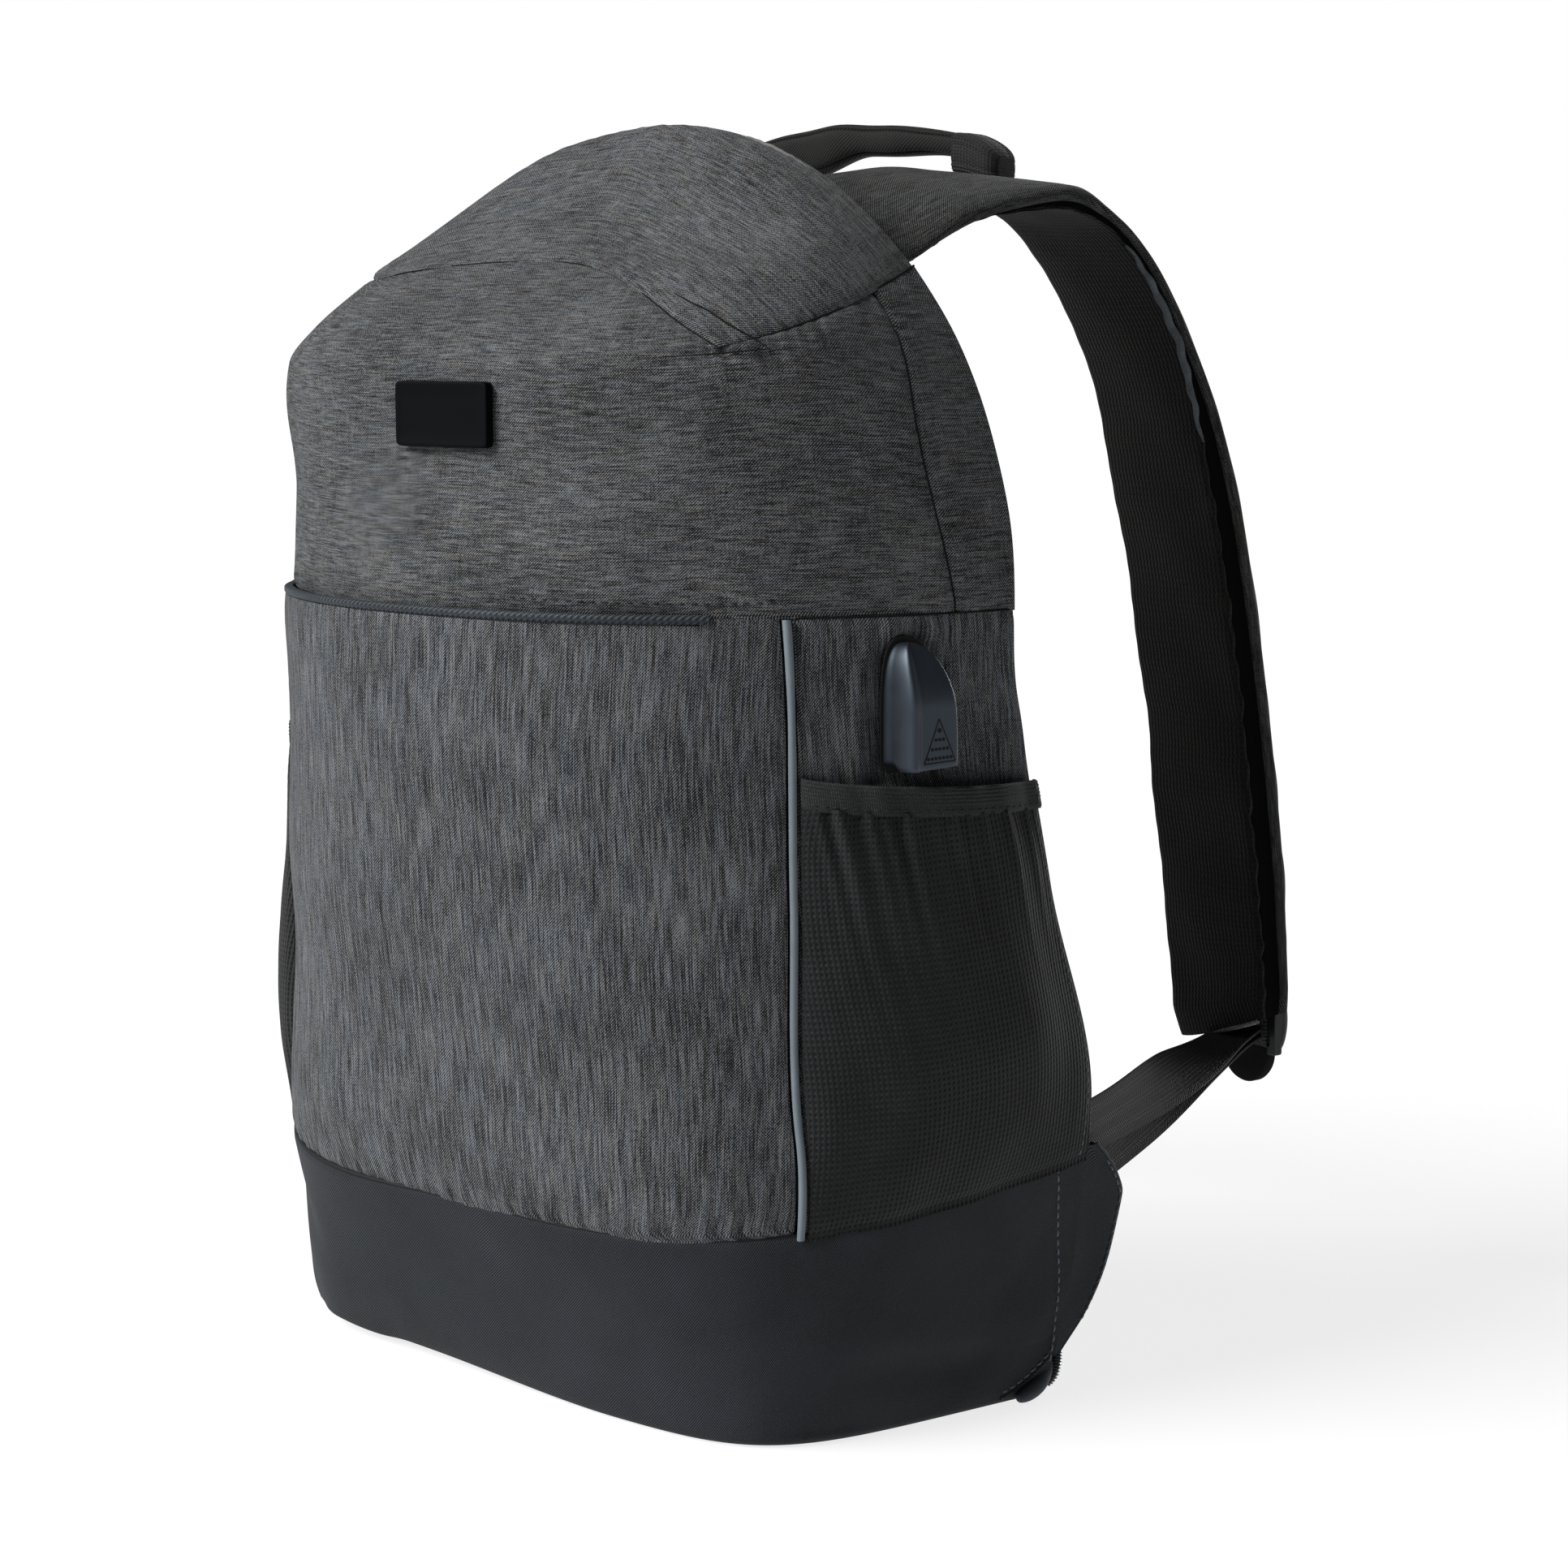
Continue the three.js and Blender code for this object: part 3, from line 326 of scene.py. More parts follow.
def turn_at_depth(depth, z):
    """Turn at which the body lies at a depth in front of its back plane."""
    share = np.clip(depth / DEEP(z), 0, 1)
    return np.arcsin(share ** (BOX(z) / 2))


def turn_between(edge, share):
    """Turn at a share of the way from an edge's turn to its mirror image."""
    return edge + (PI - 2 * edge) * share


def turn_at_y(y, z):
    """Turn at which the body lies at a y."""
    return turn_at_depth(REAR(z) - y, z)


def width_at_depth(depth, z):
    """Half width of the body at a depth in front of its back plane."""
    share = np.clip(depth / DEEP(z), 0, 1)
    return half_width(z) * (1 - TAPER(z) * share) * (1 - share ** BOX(z)) ** (1 / BOX(z))


def hood_drop(turn):
    """How far the hood seam falls at the corner on that side."""
    return np.where(turn <= PI / 2, RIGHT_DROP, LEFT_DROP)


def hood_front_z(turn):
    """Height of the hood seam over the front: the peak less a power of the turn from the middle."""
    away = np.abs(PI / 2 - turn) / (PI / 2 - HOOD_CORNER_TURN)
    return HOOD_PEAK_Z - hood_drop(turn) * away ** HOOD_ARCH_POWER


def hood_side_z(depth, drop):
    """Height of the hood seam along a side: straight from the corner to the back edge."""
    corner_z = HOOD_PEAK_Z - drop
    corner_depth = BACK_Y - body(HOOD_CORNER_TURN, corner_z)[..., 1]
    return HOOD_BACK_Z + (corner_z - HOOD_BACK_Z) * depth / corner_depth


def hood_seam_z(turn):
    """Height of the hood seam at a turn, found on the sides by repeated substitution."""
    near = np.minimum(turn, PI - turn)
    z = np.full_like(near, HOOD_BACK_Z)
    for _ in range(SEAM_STEPS):
        z = hood_side_z(BACK_Y - body(near, z)[..., 1], hood_drop(turn))
    return np.where(near >= HOOD_CORNER_TURN, hood_front_z(turn), z)


def base_top_z(y):
    """Height of the base's top edge, rising evenly towards the back."""
    return BASE_FRONT_Z + BASE_RISE * (y - BASE_FRONT_Y)


def mouth_z(y, z):
    """Height of a bottle pocket's mouth, falling towards the back with the root of the way there."""
    share = np.maximum((y - PIPING_Y) / (REAR(z) - PIPING_Y), 0)
    return lerp(MOUTH_FRONT_Z, MOUTH_BACK_Z, np.sqrt(share))


# Grids of points: rows run upwards and columns from right to left round the front

def normals_of(grid):
    """Outward normals of a grid: its slope along the columns crossed with that along the rows."""
    return unit(np.cross(np.gradient(grid, axis=0), np.gradient(grid, axis=1)))


def run_along(grid, axis):
    """Length along the grid lines from their start."""
    step = np.linalg.norm(np.diff(grid, axis=axis), axis=2)
    run = np.cumsum(step, axis=axis)
    zero = np.zeros_like(run[:1] if axis == 0 else run[:, :1])
    return np.concatenate([zero, run], axis=axis)


def edge_runs(grid):
    """Distances from the right, left, lower and upper edge of a grid along its lines."""
    across = run_along(grid, 1)
    up = run_along(grid, 0)
    return across, across[:, -1:] - across, up, up[-1:] - up


def cloth_uv(grid):
    """Lengths in millimetres along rows from the middle column and up columns from the first row."""
    across = run_along(grid, 1)
    return np.stack([across - across[:, grid.shape[1] // 2][:, None], run_along(grid, 0)], -1)


def raised(grid, height):
    """A grid moved along its normals."""
    return grid + normals_of(grid) * height[..., None]


def keep_in_front(grid):
    """Moves what lies behind the back plane of the body onto it."""
    grid[..., 1] = np.minimum(grid[..., 1], REAR(np.clip(grid[..., 2], 0, HEIGHT)))


def sewn(dist, along, seed, dip, reach=2.4, pucker=0.3, wave=7.0, fade=7.0):
    """Relief beside a seam: a bell-shaped dip at the edge, and small ripples that fade away from it."""
    dist = np.maximum(dist, 0)
    ripple = ripple_line(along, seed, wave) * np.exp(-dist / fade) * (1 - np.exp(-dist / 1.5))
    return pucker * ripple - dip * bell(dist, reach)


FOLD_NEAR = 60.0


def beside_line(grid, normal, start, end):
    """A grid by a line between two points: share of its half length along it, distance above it, and
    whether the cloth lies near it."""
    a, b = np.array(start, float), np.array(end, float)
    centre, half = (a + b) / 2, np.linalg.norm(b - a) / 2
    run = unit(b - a)
    out = normal[np.argmin(((grid.reshape(-1, 3) - centre) ** 2).sum(1))]
    side = unit(np.cross(out, run))
    side = side * np.copysign(1, side[2])
    away = grid - centre
    return away @ run / half, away @ side, np.abs(away @ out) < FOLD_NEAR


def folds(grid, rows):
    """Relief of soft folds between two points each: a bell along and across the fold."""
    normal = normals_of(grid).reshape(-1, 3)
    total = np.zeros(grid.shape[:2])
    for start, end, wide, height in rows:
        s, t, near = beside_line(grid, normal, start, end)
        total += height * np.exp(-(s ** 4) - (t / wide) ** 2) * near
    return total


def lapped(grid, rows):
    """Relief of cloth lapped over cloth: a short rise across a line, which falls off slowly above it."""
    normal = normals_of(grid).reshape(-1, 3)
    total = np.zeros(grid.shape[:2])
    for start, end, reach, height in rows:
        s, t, near = beside_line(grid, normal, start, end)
        rise = smoothstep(t, -0.7, 0.7) * np.exp(-np.maximum(t, 0) / reach)
        total += height * rise * np.exp(-(s ** 6)) * near
    return total


# Meshes

def grid_faces(rows, cols, shift=0, turned=False):
    """Quads of a grid of points, facing the side from which rows go up and columns to the left."""
    at = np.arange(rows * cols).reshape(rows, cols) + shift
    quads = np.stack([at[:-1, :-1], at[1:, :-1], at[1:, 1:], at[:-1, 1:]], -1).reshape(-1, 4)
    return quads[:, ::-1] if turned else quads


def edge_ring(rows, cols):
    """Numbers of the points once round a grid's edge, and the number that follows each."""
    at = np.arange(rows * cols).reshape(rows, cols)
    ring = np.concatenate([at[0, :-1], at[:-1, -1], at[-1, :0:-1], at[:0:-1, 0]])
    return ring, np.roll(ring, -1)


def shell(grid, thick, uv=None, back_plane=True):
    """A cloth wall: the grid, a copy moved inwards by its thickness, and a rim joining the two."""
    rows, cols = grid.shape[:2]
    inner = raised(grid, np.full((rows, cols), -float(thick)))
    if back_plane:
        keep_in_front(inner)
    count = rows * cols
    ring, after = edge_ring(rows, cols)
    rim = np.stack([ring, after, after + count, ring + count], -1)
    faces = [grid_faces(rows, cols), grid_faces(rows, cols, count, True), rim]
    points = np.concatenate([grid.reshape(-1, 3), inner.reshape(-1, 3)])
    flat = cloth_uv(grid).reshape(-1, 2) if uv is None else uv.reshape(-1, 2)
    return points, faces, np.concatenate([flat, flat])


def tube(rings, uv=None):
    """A solid through matching closed rings, closed at both ends by fans round their middles."""
    count, around = rings.shape[:2]
    at = np.arange(count * around).reshape(count, around)
    after = np.roll(at, -1, axis=1)
    quads = np.stack([at[:-1], after[:-1], after[1:], at[1:]], -1).reshape(-1, 4)
    first, last = count * around, count * around + 1
    fan_a = np.stack([np.full(around, first), after[0], at[0]], -1)
    fan_b = np.stack([np.full(around, last), at[-1], after[-1]], -1)
    middle = np.stack([rings[0].mean(0), rings[-1].mean(0)])
    points = np.concatenate([rings.reshape(-1, 3), middle])
    if uv is None:
        uv = ring_uv(rings)
    flat = np.concatenate([uv.reshape(-1, 2), uv[0].mean(0)[None], uv[-1].mean(0)[None]])
    return points, [quads, fan_a, fan_b], flat


def ring_uv(rings):
    """Lengths in millimetres along the rings' middles and round each ring from its first point."""
    middle = rings.mean(1)
    along = length_along(middle)
    around = run_along(rings, 1)
    return np.stack([np.broadcast_to(along[:, None], around.shape), around], -1)


def cord(path, radius, around=8):
    """A round rod carried along a path: circles across its direction, as thick as the radius says."""
    along = unit(np.gradient(path, axis=0))
    level = UP if np.abs(along[:, 2]).mean() < 0.8 else np.array([1.0, 0, 0])
    side = unit(np.cross(along, level))
    up = np.cross(side, along)
    size = np.broadcast_to(radius, len(path))[:, None, None]
    return tube(path[:, None] + size * round_about(around, side[:, None], up[:, None]))


def joined(parts):
    """One mesh from several: points stacked, and face numbers shifted by what came before."""
    points, faces, flat, shift = [], [], [], 0
    for p, f, uv in parts:
        points.append(p)
        flat.append(uv)
        faces += [block + shift for block in f]
        shift += len(p)
    return np.concatenate(points), faces, np.concatenate(flat)


def mirrored(made):
    """The same mesh on the other side of the bag, with its faces turned to point outwards."""
    points, faces, uv = made
    return points * np.array([-1.0, 1, 1]), [block[:, ::-1] for block in faces], uv


def placed(name, data):
    """A new object of that name in the scene."""
    thing = bpy.data.objects.new(name, data)
    bpy.context.scene.collection.objects.link(thing)
    return thing


def piece(name, made, finish, nodes=(), sharp=50):
    """A finished object at the origin: mesh, UV in millimetres, material, body and solids."""
    points, faces, uv = made
    mesh = bpy.data.meshes.new(name)
    mesh.from_pydata((points * MM).tolist(), [], [q for block in faces for q in block.tolist()])
    layer = mesh.uv_layers.new(name="cloth")
    corner = np.empty(len(mesh.loops), np.int32)
    mesh.loops.foreach_get("vertex_index", corner)
    layer.uv.foreach_set("vector", uv[corner].astype(np.float32).ravel())
    mend = bmesh.new()
    mend.from_mesh(mesh)
    bmesh.ops.remove_doubles(mend, verts=mend.verts, dist=1e-6)
    bmesh.ops.dissolve_degenerate(mend, edges=mend.edges, dist=1e-7)
    bmesh.ops.recalc_face_normals(mend, faces=mend.faces)
    mend.to_mesh(mesh)
    mend.free()
    mesh.shade_smooth()
    mesh.set_sharp_from_angle(angle=np.radians(sharp))
    thing = placed(name, mesh)
    mesh.materials.append(finish)
    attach(thing, "root")
    if nodes:
        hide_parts(*nodes)
    return thing


STITCH_SINK = 0.35
ROD_RINGS = 5
ROD_SIDES = 6


def rod_faces(count):
    """Faces of many short rods, each a few rings of points closed at both ends."""
    at = np.arange(ROD_RINGS * ROD_SIDES).reshape(ROD_RINGS, ROD_SIDES)
    after = np.roll(at, -1, axis=1)
    quads = np.stack([at[:-1], after[:-1], after[1:], at[1:]], -1).reshape(-1, 4)
    caps = np.array([at[0, ::-1], at[-1]])
    shift = (np.arange(count) * at.size)[:, None, None]
    return [(block[None] + shift).reshape(-1, block.shape[1]) for block in (quads, caps)]


def stitches(path, normal, pitch, length, radius):
    """A row of sewn threads: short rods with round ends, evenly along a path, half sunk in the cloth."""
    span = length_along(path)
    count = max(int(span[-1] / pitch), 1)
    middle = (np.arange(count) + 0.5) * span[-1] / count
    centre = looked_up(middle, span, path)
    along = unit(looked_up(middle + 0.4, span, path) - looked_up(middle - 0.4, span, path))
    up = unit(looked_up(middle, span, normal))
    side = unit(np.cross(along, up))
    reach = np.array([-0.5, -0.36, 0.0, 0.36, 0.5]) * length
    fat = np.array([0.45, 0.85, 1.0, 0.85, 0.45]) * radius
    lift = np.array([-0.9, -0.1, 0.25, -0.1, -0.9]) * radius
    angle = full_turn(ROD_SIDES)
    a = reach[:, None] + 0 * angle
    b = fat[:, None] * np.cos(angle)
    c = fat[:, None] * np.sin(angle) + lift[:, None] + radius * (1 - 2 * STITCH_SINK)
    frame_axes = np.stack([along, side, up], 1)
    local = np.stack([a, b, c], -1).reshape(-1, 3)
    points = centre[:, None, :] + np.einsum("pk,nkx->npx", local, frame_axes)
    return points.reshape(-1, 3), rod_faces(count), np.tile(local[:, :2], (count, 1))


# Finishes: short calls that add a shader node and give back its output

DOT_PITCH = 1.02
MELANGE_STOPS = [
    (0.48, 0.12), (0.528, 0.3), (0.564, 0.54), (0.6, 0.86), (0.637, 1.34), (0.672, 2.0), (0.715, 3.1),
]
TWILL_STOPS = [(0.2, 0.3), (0.33, 0.72), (0.41, 1.2), (0.5, 2.0), (0.62, 3.4)]
# The mesh ramp's last, far lighter stop paints highlights: sparse glints on the mesh.
MESH_TONES_AND_GLINTS = [(0.36, 0.8), (0.57, 1.7), (0.66, 3.6)]


def node(tree, kind, values=(), output=0, **settings):
    made = tree.nodes.new(kind)
    for key, value in settings.items():
        setattr(made, key, value)
    for key, value in dict(values).items():
        if isinstance(value, bpy.types.NodeSocket):
            tree.links.new(value, made.inputs[key])
        else:
            made.inputs[key].default_value = value
    return made.outputs[output]


def math(tree, operation, a, b=0.0):
    return node(tree, "ShaderNodeMath", {0: a, 1: b}, operation=operation)


def blended(tree, parts):
    """Weighted sum of outputs."""
    total = None
    for socket, weight in parts:
        term = math(tree, "MULTIPLY", socket, weight)
        total = term if total is None else math(tree, "ADD", total, term)
    return total


def started(name, roughness, specular, sheen=0.0):
    """A new material with its constants on the shader itself."""
    material = bpy.data.materials.new(name)
    material.use_nodes = True
    tree = material.node_tree
    shader = tree.nodes["Principled BSDF"]
    shader.inputs["Roughness"].default_value = roughness
    shader.inputs["Specular IOR Level"].default_value = specular
    shader.inputs["Sheen Weight"].default_value = sheen
    shader.inputs["Sheen Roughness"].default_value = 0.45
    return material, tree, shader


def in_mm(tree, source):
    """Coordinates in millimetres: the piece's own UV map, or its Object coordinates scaled up."""
    made = tree.nodes.new("ShaderNodeTexCoord")
    if source == "UV":
        return made.outputs["UV"]
    return node(tree, "ShaderNodeMapping", {"Vector": made.outputs["Object"], "Scale": (1000, 1000, 1000)})


def threads(tree, place, wide, tall, seed, detail=2.0):
    """Noise stretched to a thread's length and width in millimetres."""
    vector = node(tree, "ShaderNodeMapping", {
        "Vector": place,
        "Location": (seed * 7.31, seed * 3.17, seed * 1.9),
        "Scale": (1 / wide, 1 / tall, 1 / max(wide, tall)),
    })
    return node(tree, "ShaderNodeTexNoise", {"Vector": vector, "Scale": 1.0, "Detail": detail})


def parts_of(tree, place):
    made = tree.nodes.new("ShaderNodeSeparateXYZ")
    tree.links.new(place, made.inputs[0])
    return made.outputs


def wave(tree, socket, pitch):
    """Sine of a coordinate, one wave for each pitch in millimetres."""
    return math(tree, "SINE", math(tree, "MULTIPLY", socket, 2 * PI / pitch))


def toned(tree, value, stops):
    """Colour by value, through a ramp of (place, colour) stops."""
    made = tree.nodes.new("ShaderNodeValToRGB")
    tree.links.new(value, made.inputs[0])
    ramp = made.color_ramp
    while len(ramp.elements) < len(stops):
        ramp.elements.new(0.5)
    for element, (place, colour) in zip(ramp.elements, stops):
        element.position = place
        element.color = (*colour, 1)
    return made.outputs[0]


def dressed(tree, shader, colour, height, deep_mm, strength=0.6):
    """Colour and fine relief of the finish, from a colour output and a height output."""
    tree.links.new(colour, shader.inputs["Base Color"])
    normal = node(tree, "ShaderNodeBump", {"Height": height, "Distance": deep_mm * MM, "Strength": strength})
    tree.links.new(normal, shader.inputs["Normal"])


def melange(name, across, tint, light, cross, length):
    """Two-tone twill: threads of unlike length and tone both ways, slubs along the main threads, and
    light and dark dots in diagonal order where threads cross."""
    material, tree, shader = started(name, 0.95, 0.1, 0.04)
    place = in_mm(tree, "UV")
    u, v, _ = parts_of(tree, place)
    turn = (lambda a, b: (a, b)) if across else (lambda a, b: (b, a))
    long_thread = threads(tree, place, *turn(length, 0.44), 1, 1.0)
    slub = threads(tree, place, *turn(length * 1.7, 1.5), 2, 1.0)
    cross_thread = threads(tree, place, *turn(0.5, 6.0), 3, 1.0)
    grain = threads(tree, place, 0.42, 0.42, 4, 1.0)
    cloud = threads(tree, place, 30.0, 30.0, 5)
    hue = threads(tree, place, *turn(12.0, 2.5), 6)
    diagonal = wave(tree, math(tree, "ADD", u, v), DOT_PITCH)
    dots = math(tree, "MULTIPLY", wave(tree, u, DOT_PITCH), wave(tree, v, DOT_PITCH))
    tone = blended(tree, [
        (long_thread, 0.56 - cross), (slub, 0.17), (cross_thread, cross), (grain, 0.37), (cloud, 0.1),
        (diagonal, 0.1), (dots, 0.1),
    ])
    shade = toned(tree, tone, [(place_at, (light * k,) * 3) for place_at, k in MELANGE_STOPS])
    base = np.array(tint)
    warm_to_cool = toned(tree, hue, [(0.35, base * (1.02, 1.0, 0.97)), (0.65, base * (0.95, 1.0, 1.06))])
    colour = node(tree, "ShaderNodeVectorMath", {0: shade, 1: warm_to_cool}, operation="MULTIPLY")
    relief = blended(tree, [(grain, 0.4), (diagonal, 0.2), (dots, 0.2), (long_thread, 0.5)])
    dressed(tree, shader, colour, relief, 0.3)
    return material


def twill(name, tint, pitch, contrast, roughness=0.8, lean=1.0):
    """Diagonal ribs of a twill: a sine across the diagonal, broken up by fine noise."""
    material, tree, shader = started(name, roughness, 0.18, 0.03)
    place = in_mm(tree, "UV")
    u, v, _ = parts_of(tree, place)
    line = wave(tree, math(tree, "ADD", u, math(tree, "MULTIPLY", v, lean)), pitch)
    grain = threads(tree, place, 0.5, 0.5, 1, 1.0)
    cloud = threads(tree, place, 30.0, 30.0, 2)
    tone = blended(tree, [(line, 0.09 * contrast), (grain, 0.5), (cloud, 0.25)])
    base = np.array(tint)
    colour = toned(tree, tone, [(place_at, base * k) for place_at, k in TWILL_STOPS])
    dressed(tree, shader, colour, blended(tree, [(line, 0.4), (grain, 0.6)]), 0.22)
    return material


def holed_mesh(name, source, pitch, tint, hole_tint, hole, ribs, specular=0.2):
    """Knitted mesh: a net of rounded holes on a grid of cells, with fine ribs between them, and painted
    glints at its lightest tone.
    """
    material, tree, shader = started(name, 0.85, specular, specular / 5)
    place = in_mm(tree, source)
    x, y, z = parts_of(tree, place)
    across, up = (x, y) if source == "UV" else (x, z)
    a = wave(tree, across, pitch[0])
    b = wave(tree, up, pitch[1])
    cell = math(tree, "MULTIPLY", math(tree, "ABSOLUTE", a), math(tree, "ABSOLUTE", b))
    grain = threads(tree, place, 0.5, 1.4, 1)
    cloud = threads(tree, place, 22.0, 22.0, 2)
    edge = {0: cell, 1: 1 - hole - 0.2, 2: 1 - hole + 0.12, 3: 0.0, 4: 1.0}
    depth = node(tree, "ShaderNodeMapRange", edge)
    tone = blended(tree, [(grain, 0.6), (cloud, 0.3), (depth, -0.36)])
    base = np.array(tint)
    stops = [(0.0, hole_tint)] + [(place_at, base * k) for place_at, k in MESH_TONES_AND_GLINTS]
    colour = toned(tree, tone, stops)
    rib = wave(tree, across, pitch[0] / 2)
    dressed(tree, shader, colour, blended(tree, [(depth, -1.0), (grain, 0.4), (rib, ribs)]), 0.5)
    return material


def ribbed_web(name, tint, pitch):
    """Woven webbing: ribs across and a zigzag of floats along it."""
    material, tree, shader = started(name, 0.75, 0.25, 0.05)
    place = in_mm(tree, "UV")
    u, v, _ = parts_of(tree, place)
    zig = node(tree, "ShaderNodeMath", {0: v, 1: pitch * 2.0}, operation="PINGPONG")
    line = wave(tree, math(tree, "ADD", u, zig), pitch)
    row = wave(tree, v, pitch)
    grain = threads(tree, place, 0.6, 0.6, 1)
    tone = blended(tree, [(line, 0.15), (row, 0.04), (grain, 0.6)])
    base = np.array(tint)
    colour = toned(tree, tone, [(0.12, base * 0.45), (0.3, base), (0.52, base * 2.0)])
    dressed(tree, shader, colour, blended(tree, [(line, 0.5), (row, 0.4), (grain, 0.5)]), 0.35, 0.7)
    return material


def smooth_finish(name, tint, roughness, specular, speckle=0.12, grain_mm=0.35, deep=0.03):
    """Moulded or spun finish: a tint with faint speckle, and a fine grain in relief and gloss."""
    material, tree, shader = started(name, roughness, specular)
    place = in_mm(tree, "Object")
    grain = threads(tree, place, grain_mm, grain_mm, 1, 3.0)
    cloud = threads(tree, place, 9.0, 9.0, 2)
    tone = blended(tree, [(grain, 0.5), (cloud, 0.5)])
    base = np.array(tint)
    colour = toned(tree, tone, [(0.3, base * (1 - speckle)), (0.7, base * (1 + speckle))])
    spread = {0: tone, 1: 0.3, 2: 0.7, 3: roughness - 0.05, 4: roughness + 0.08}
    tree.links.new(node(tree, "ShaderNodeMapRange", spread), shader.inputs["Roughness"])
    dressed(tree, shader, colour, grain, deep, 0.5)
    return material


# The numbers of a smooth finish are its roughness, specular level and speckle, and the width and depth
# of its grain in millimetres
HEATHER = melange("heather_cloth", True, (0.98, 1.0, 1.02), light=0.0455, cross=0.14, length=9.0)
SLATE = melange("slate_cloth", False, (0.97, 1.0, 1.05), light=0.0492, cross=0.06, length=15.0)
STRAP_HEATHER = melange("strap_heather", False, (1.0, 1.0, 0.98), light=0.0206, cross=0.12, length=9.0)
EDGE_CLOTH = smooth_finish("edge_cloth", (0.06, 0.067, 0.074), 0.9, 0.1, 0.5, 0.7, 0.2)
PALE_CLOTH = smooth_finish("pale_cloth", (0.11, 0.11, 0.108), 0.9, 0.1, 0.5, 0.7, 0.2)
# Near-black finish: painted shade on the cords in the seams, and the lock tab's own black.
SHADE_CORDS_AND_TAB_BLACK = smooth_finish("shade_cords_and_tab_black", (0.009, 0.0092, 0.0095), 0.95, 0.05, 0.2, 0.5, 0.1)
BASE_TWILL = twill("base_twill", (0.0088, 0.0103, 0.0127), pitch=1.06, contrast=3.0)
GRIP_TWILL = twill("grip_twill", (0.0056, 0.0059, 0.0054), pitch=1.5, contrast=1.6)
BINDING = twill("binding_tape", (0.0142, 0.018, 0.0225), pitch=2.3, contrast=2.4, roughness=0.6)
STRETCH_MESH = holed_mesh(
    "stretch_mesh", "UV", (3.7, 4.1), (0.0098, 0.0105, 0.011), (0.0022, 0.0022, 0.0024),
    hole=0.3, ribs=0.4)
ELASTIC = twill("elastic_band", (0.0145, 0.0158, 0.016), pitch=0.8, contrast=0.8, roughness=0.75, lean=0.0)
AIR_MESH = holed_mesh(
    "air_mesh", "UV", (4.0, 5.0), (0.0036, 0.0036, 0.0033), (0.0017, 0.0017, 0.0016),
    hole=0.25, ribs=0.35, specular=0.13)
# Near-black strap edge: its own black, darkened further to paint the deep shade between mesh and cover.
FOAM_EDGE_BLACK_AND_SHADE = smooth_finish("foam_edge_black_and_shade", (0.0014, 0.0014, 0.0014), 0.95, 0.05, 0.3, 0.6, 0.1)
BACK_MESH = holed_mesh(
    "back_mesh", "Object", (6.4, 7.6), (0.012, 0.012, 0.0115), (0.003, 0.003, 0.003),
    hole=0.25, ribs=0.3)
WEBBING = ribbed_web("black_webbing", (0.014, 0.0143, 0.0135), 1.5)
# Darker copy of the black webbing: painted shade on the tail, which lies behind the main strip.
WEBBING_TAIL_SHADE = ribbed_web("tail_web_painted_shade", (0.0055, 0.0056, 0.0052), 1.5)
SLEEVE_WEB = holed_mesh(
    "sleeve_webbing", "UV", (2.8, 2.4), (0.008, 0.0085, 0.0081), (0.028,) * 3, hole=0.35, ribs=0.2)
END_TAPE = smooth_finish("end_tape", (0.028, 0.034, 0.042), 0.6, 0.25, 0.15, 0.5, 0.08)
ZIP_TAPE = ribbed_web("zip_tape", (0.014, 0.0145, 0.016), 1.0)
PIPING = smooth_finish("piping_cord", (0.112, 0.134, 0.152), 0.55, 0.3, 0.12, 0.6, 0.08)
PLASTIC = smooth_finish("moulded_plastic", (0.0068, 0.0086, 0.0114), 0.42, 0.52, 0.08, 0.3, 0.03)
PLASTIC.node_tree.nodes["Principled BSDF"].inputs["Specular Tint"].default_value = (0.84, 1.0, 1.2, 1)
LOCK_PLASTIC = smooth_finish("lock_plastic", (0.0042, 0.0052, 0.0068), 0.5, 0.3, 0.08, 0.3, 0.03)
RUBBER = smooth_finish("badge_rubber", (0.0019, 0.0023, 0.0027), 0.6, 0.03, 0.1, 0.4, 0.02)
COIL = smooth_finish("zip_coil", (0.022, 0.025, 0.03), 0.35, 0.5)
THREAD = smooth_finish("slate_thread", (0.09, 0.105, 0.12), 0.7, 0.2, 0.2, 0.3, 0.08)
DARK_THREAD = smooth_finish("dark_thread", (0.016, 0.017, 0.018), 0.8, 0.2, 0.2, 0.3, 0.08)
# Very dark finish: painted shade in the opening round the port hood and along the base's top edge, and the
# dark vent dots and triangle on the hood.
DARK_SHADE_AND_VENT_MARKS = smooth_finish("recess_shade_and_vent_marks", (0.004, 0.0042, 0.0048), 0.7, 0.2)


# Upper body

def even_turns(z, count, low):
    """Shares of the turn between two edges that step evenly along the body at one height."""
    share = np.linspace(0, 1, 1201)
    path = body(turn_between(low, share), np.full_like(share, z))
    run = length_along(path)
    return np.interp(np.linspace(0, run[-1], count + 1), run, share)


def drawn_in(turn, z):
    """How far the panel above the slip pocket lies behind the pocket's lip."""
    middle = np.clip(1 - np.abs(turn - PI / 2) / SLIT_TURN, 0, 1)
    low = np.clip(1 - (z - SEAM_Z) / SLIT_REACH, 0, 1)
    return SLIT * smoothstep(middle, 0, SLIT_EASE) * low ** 2


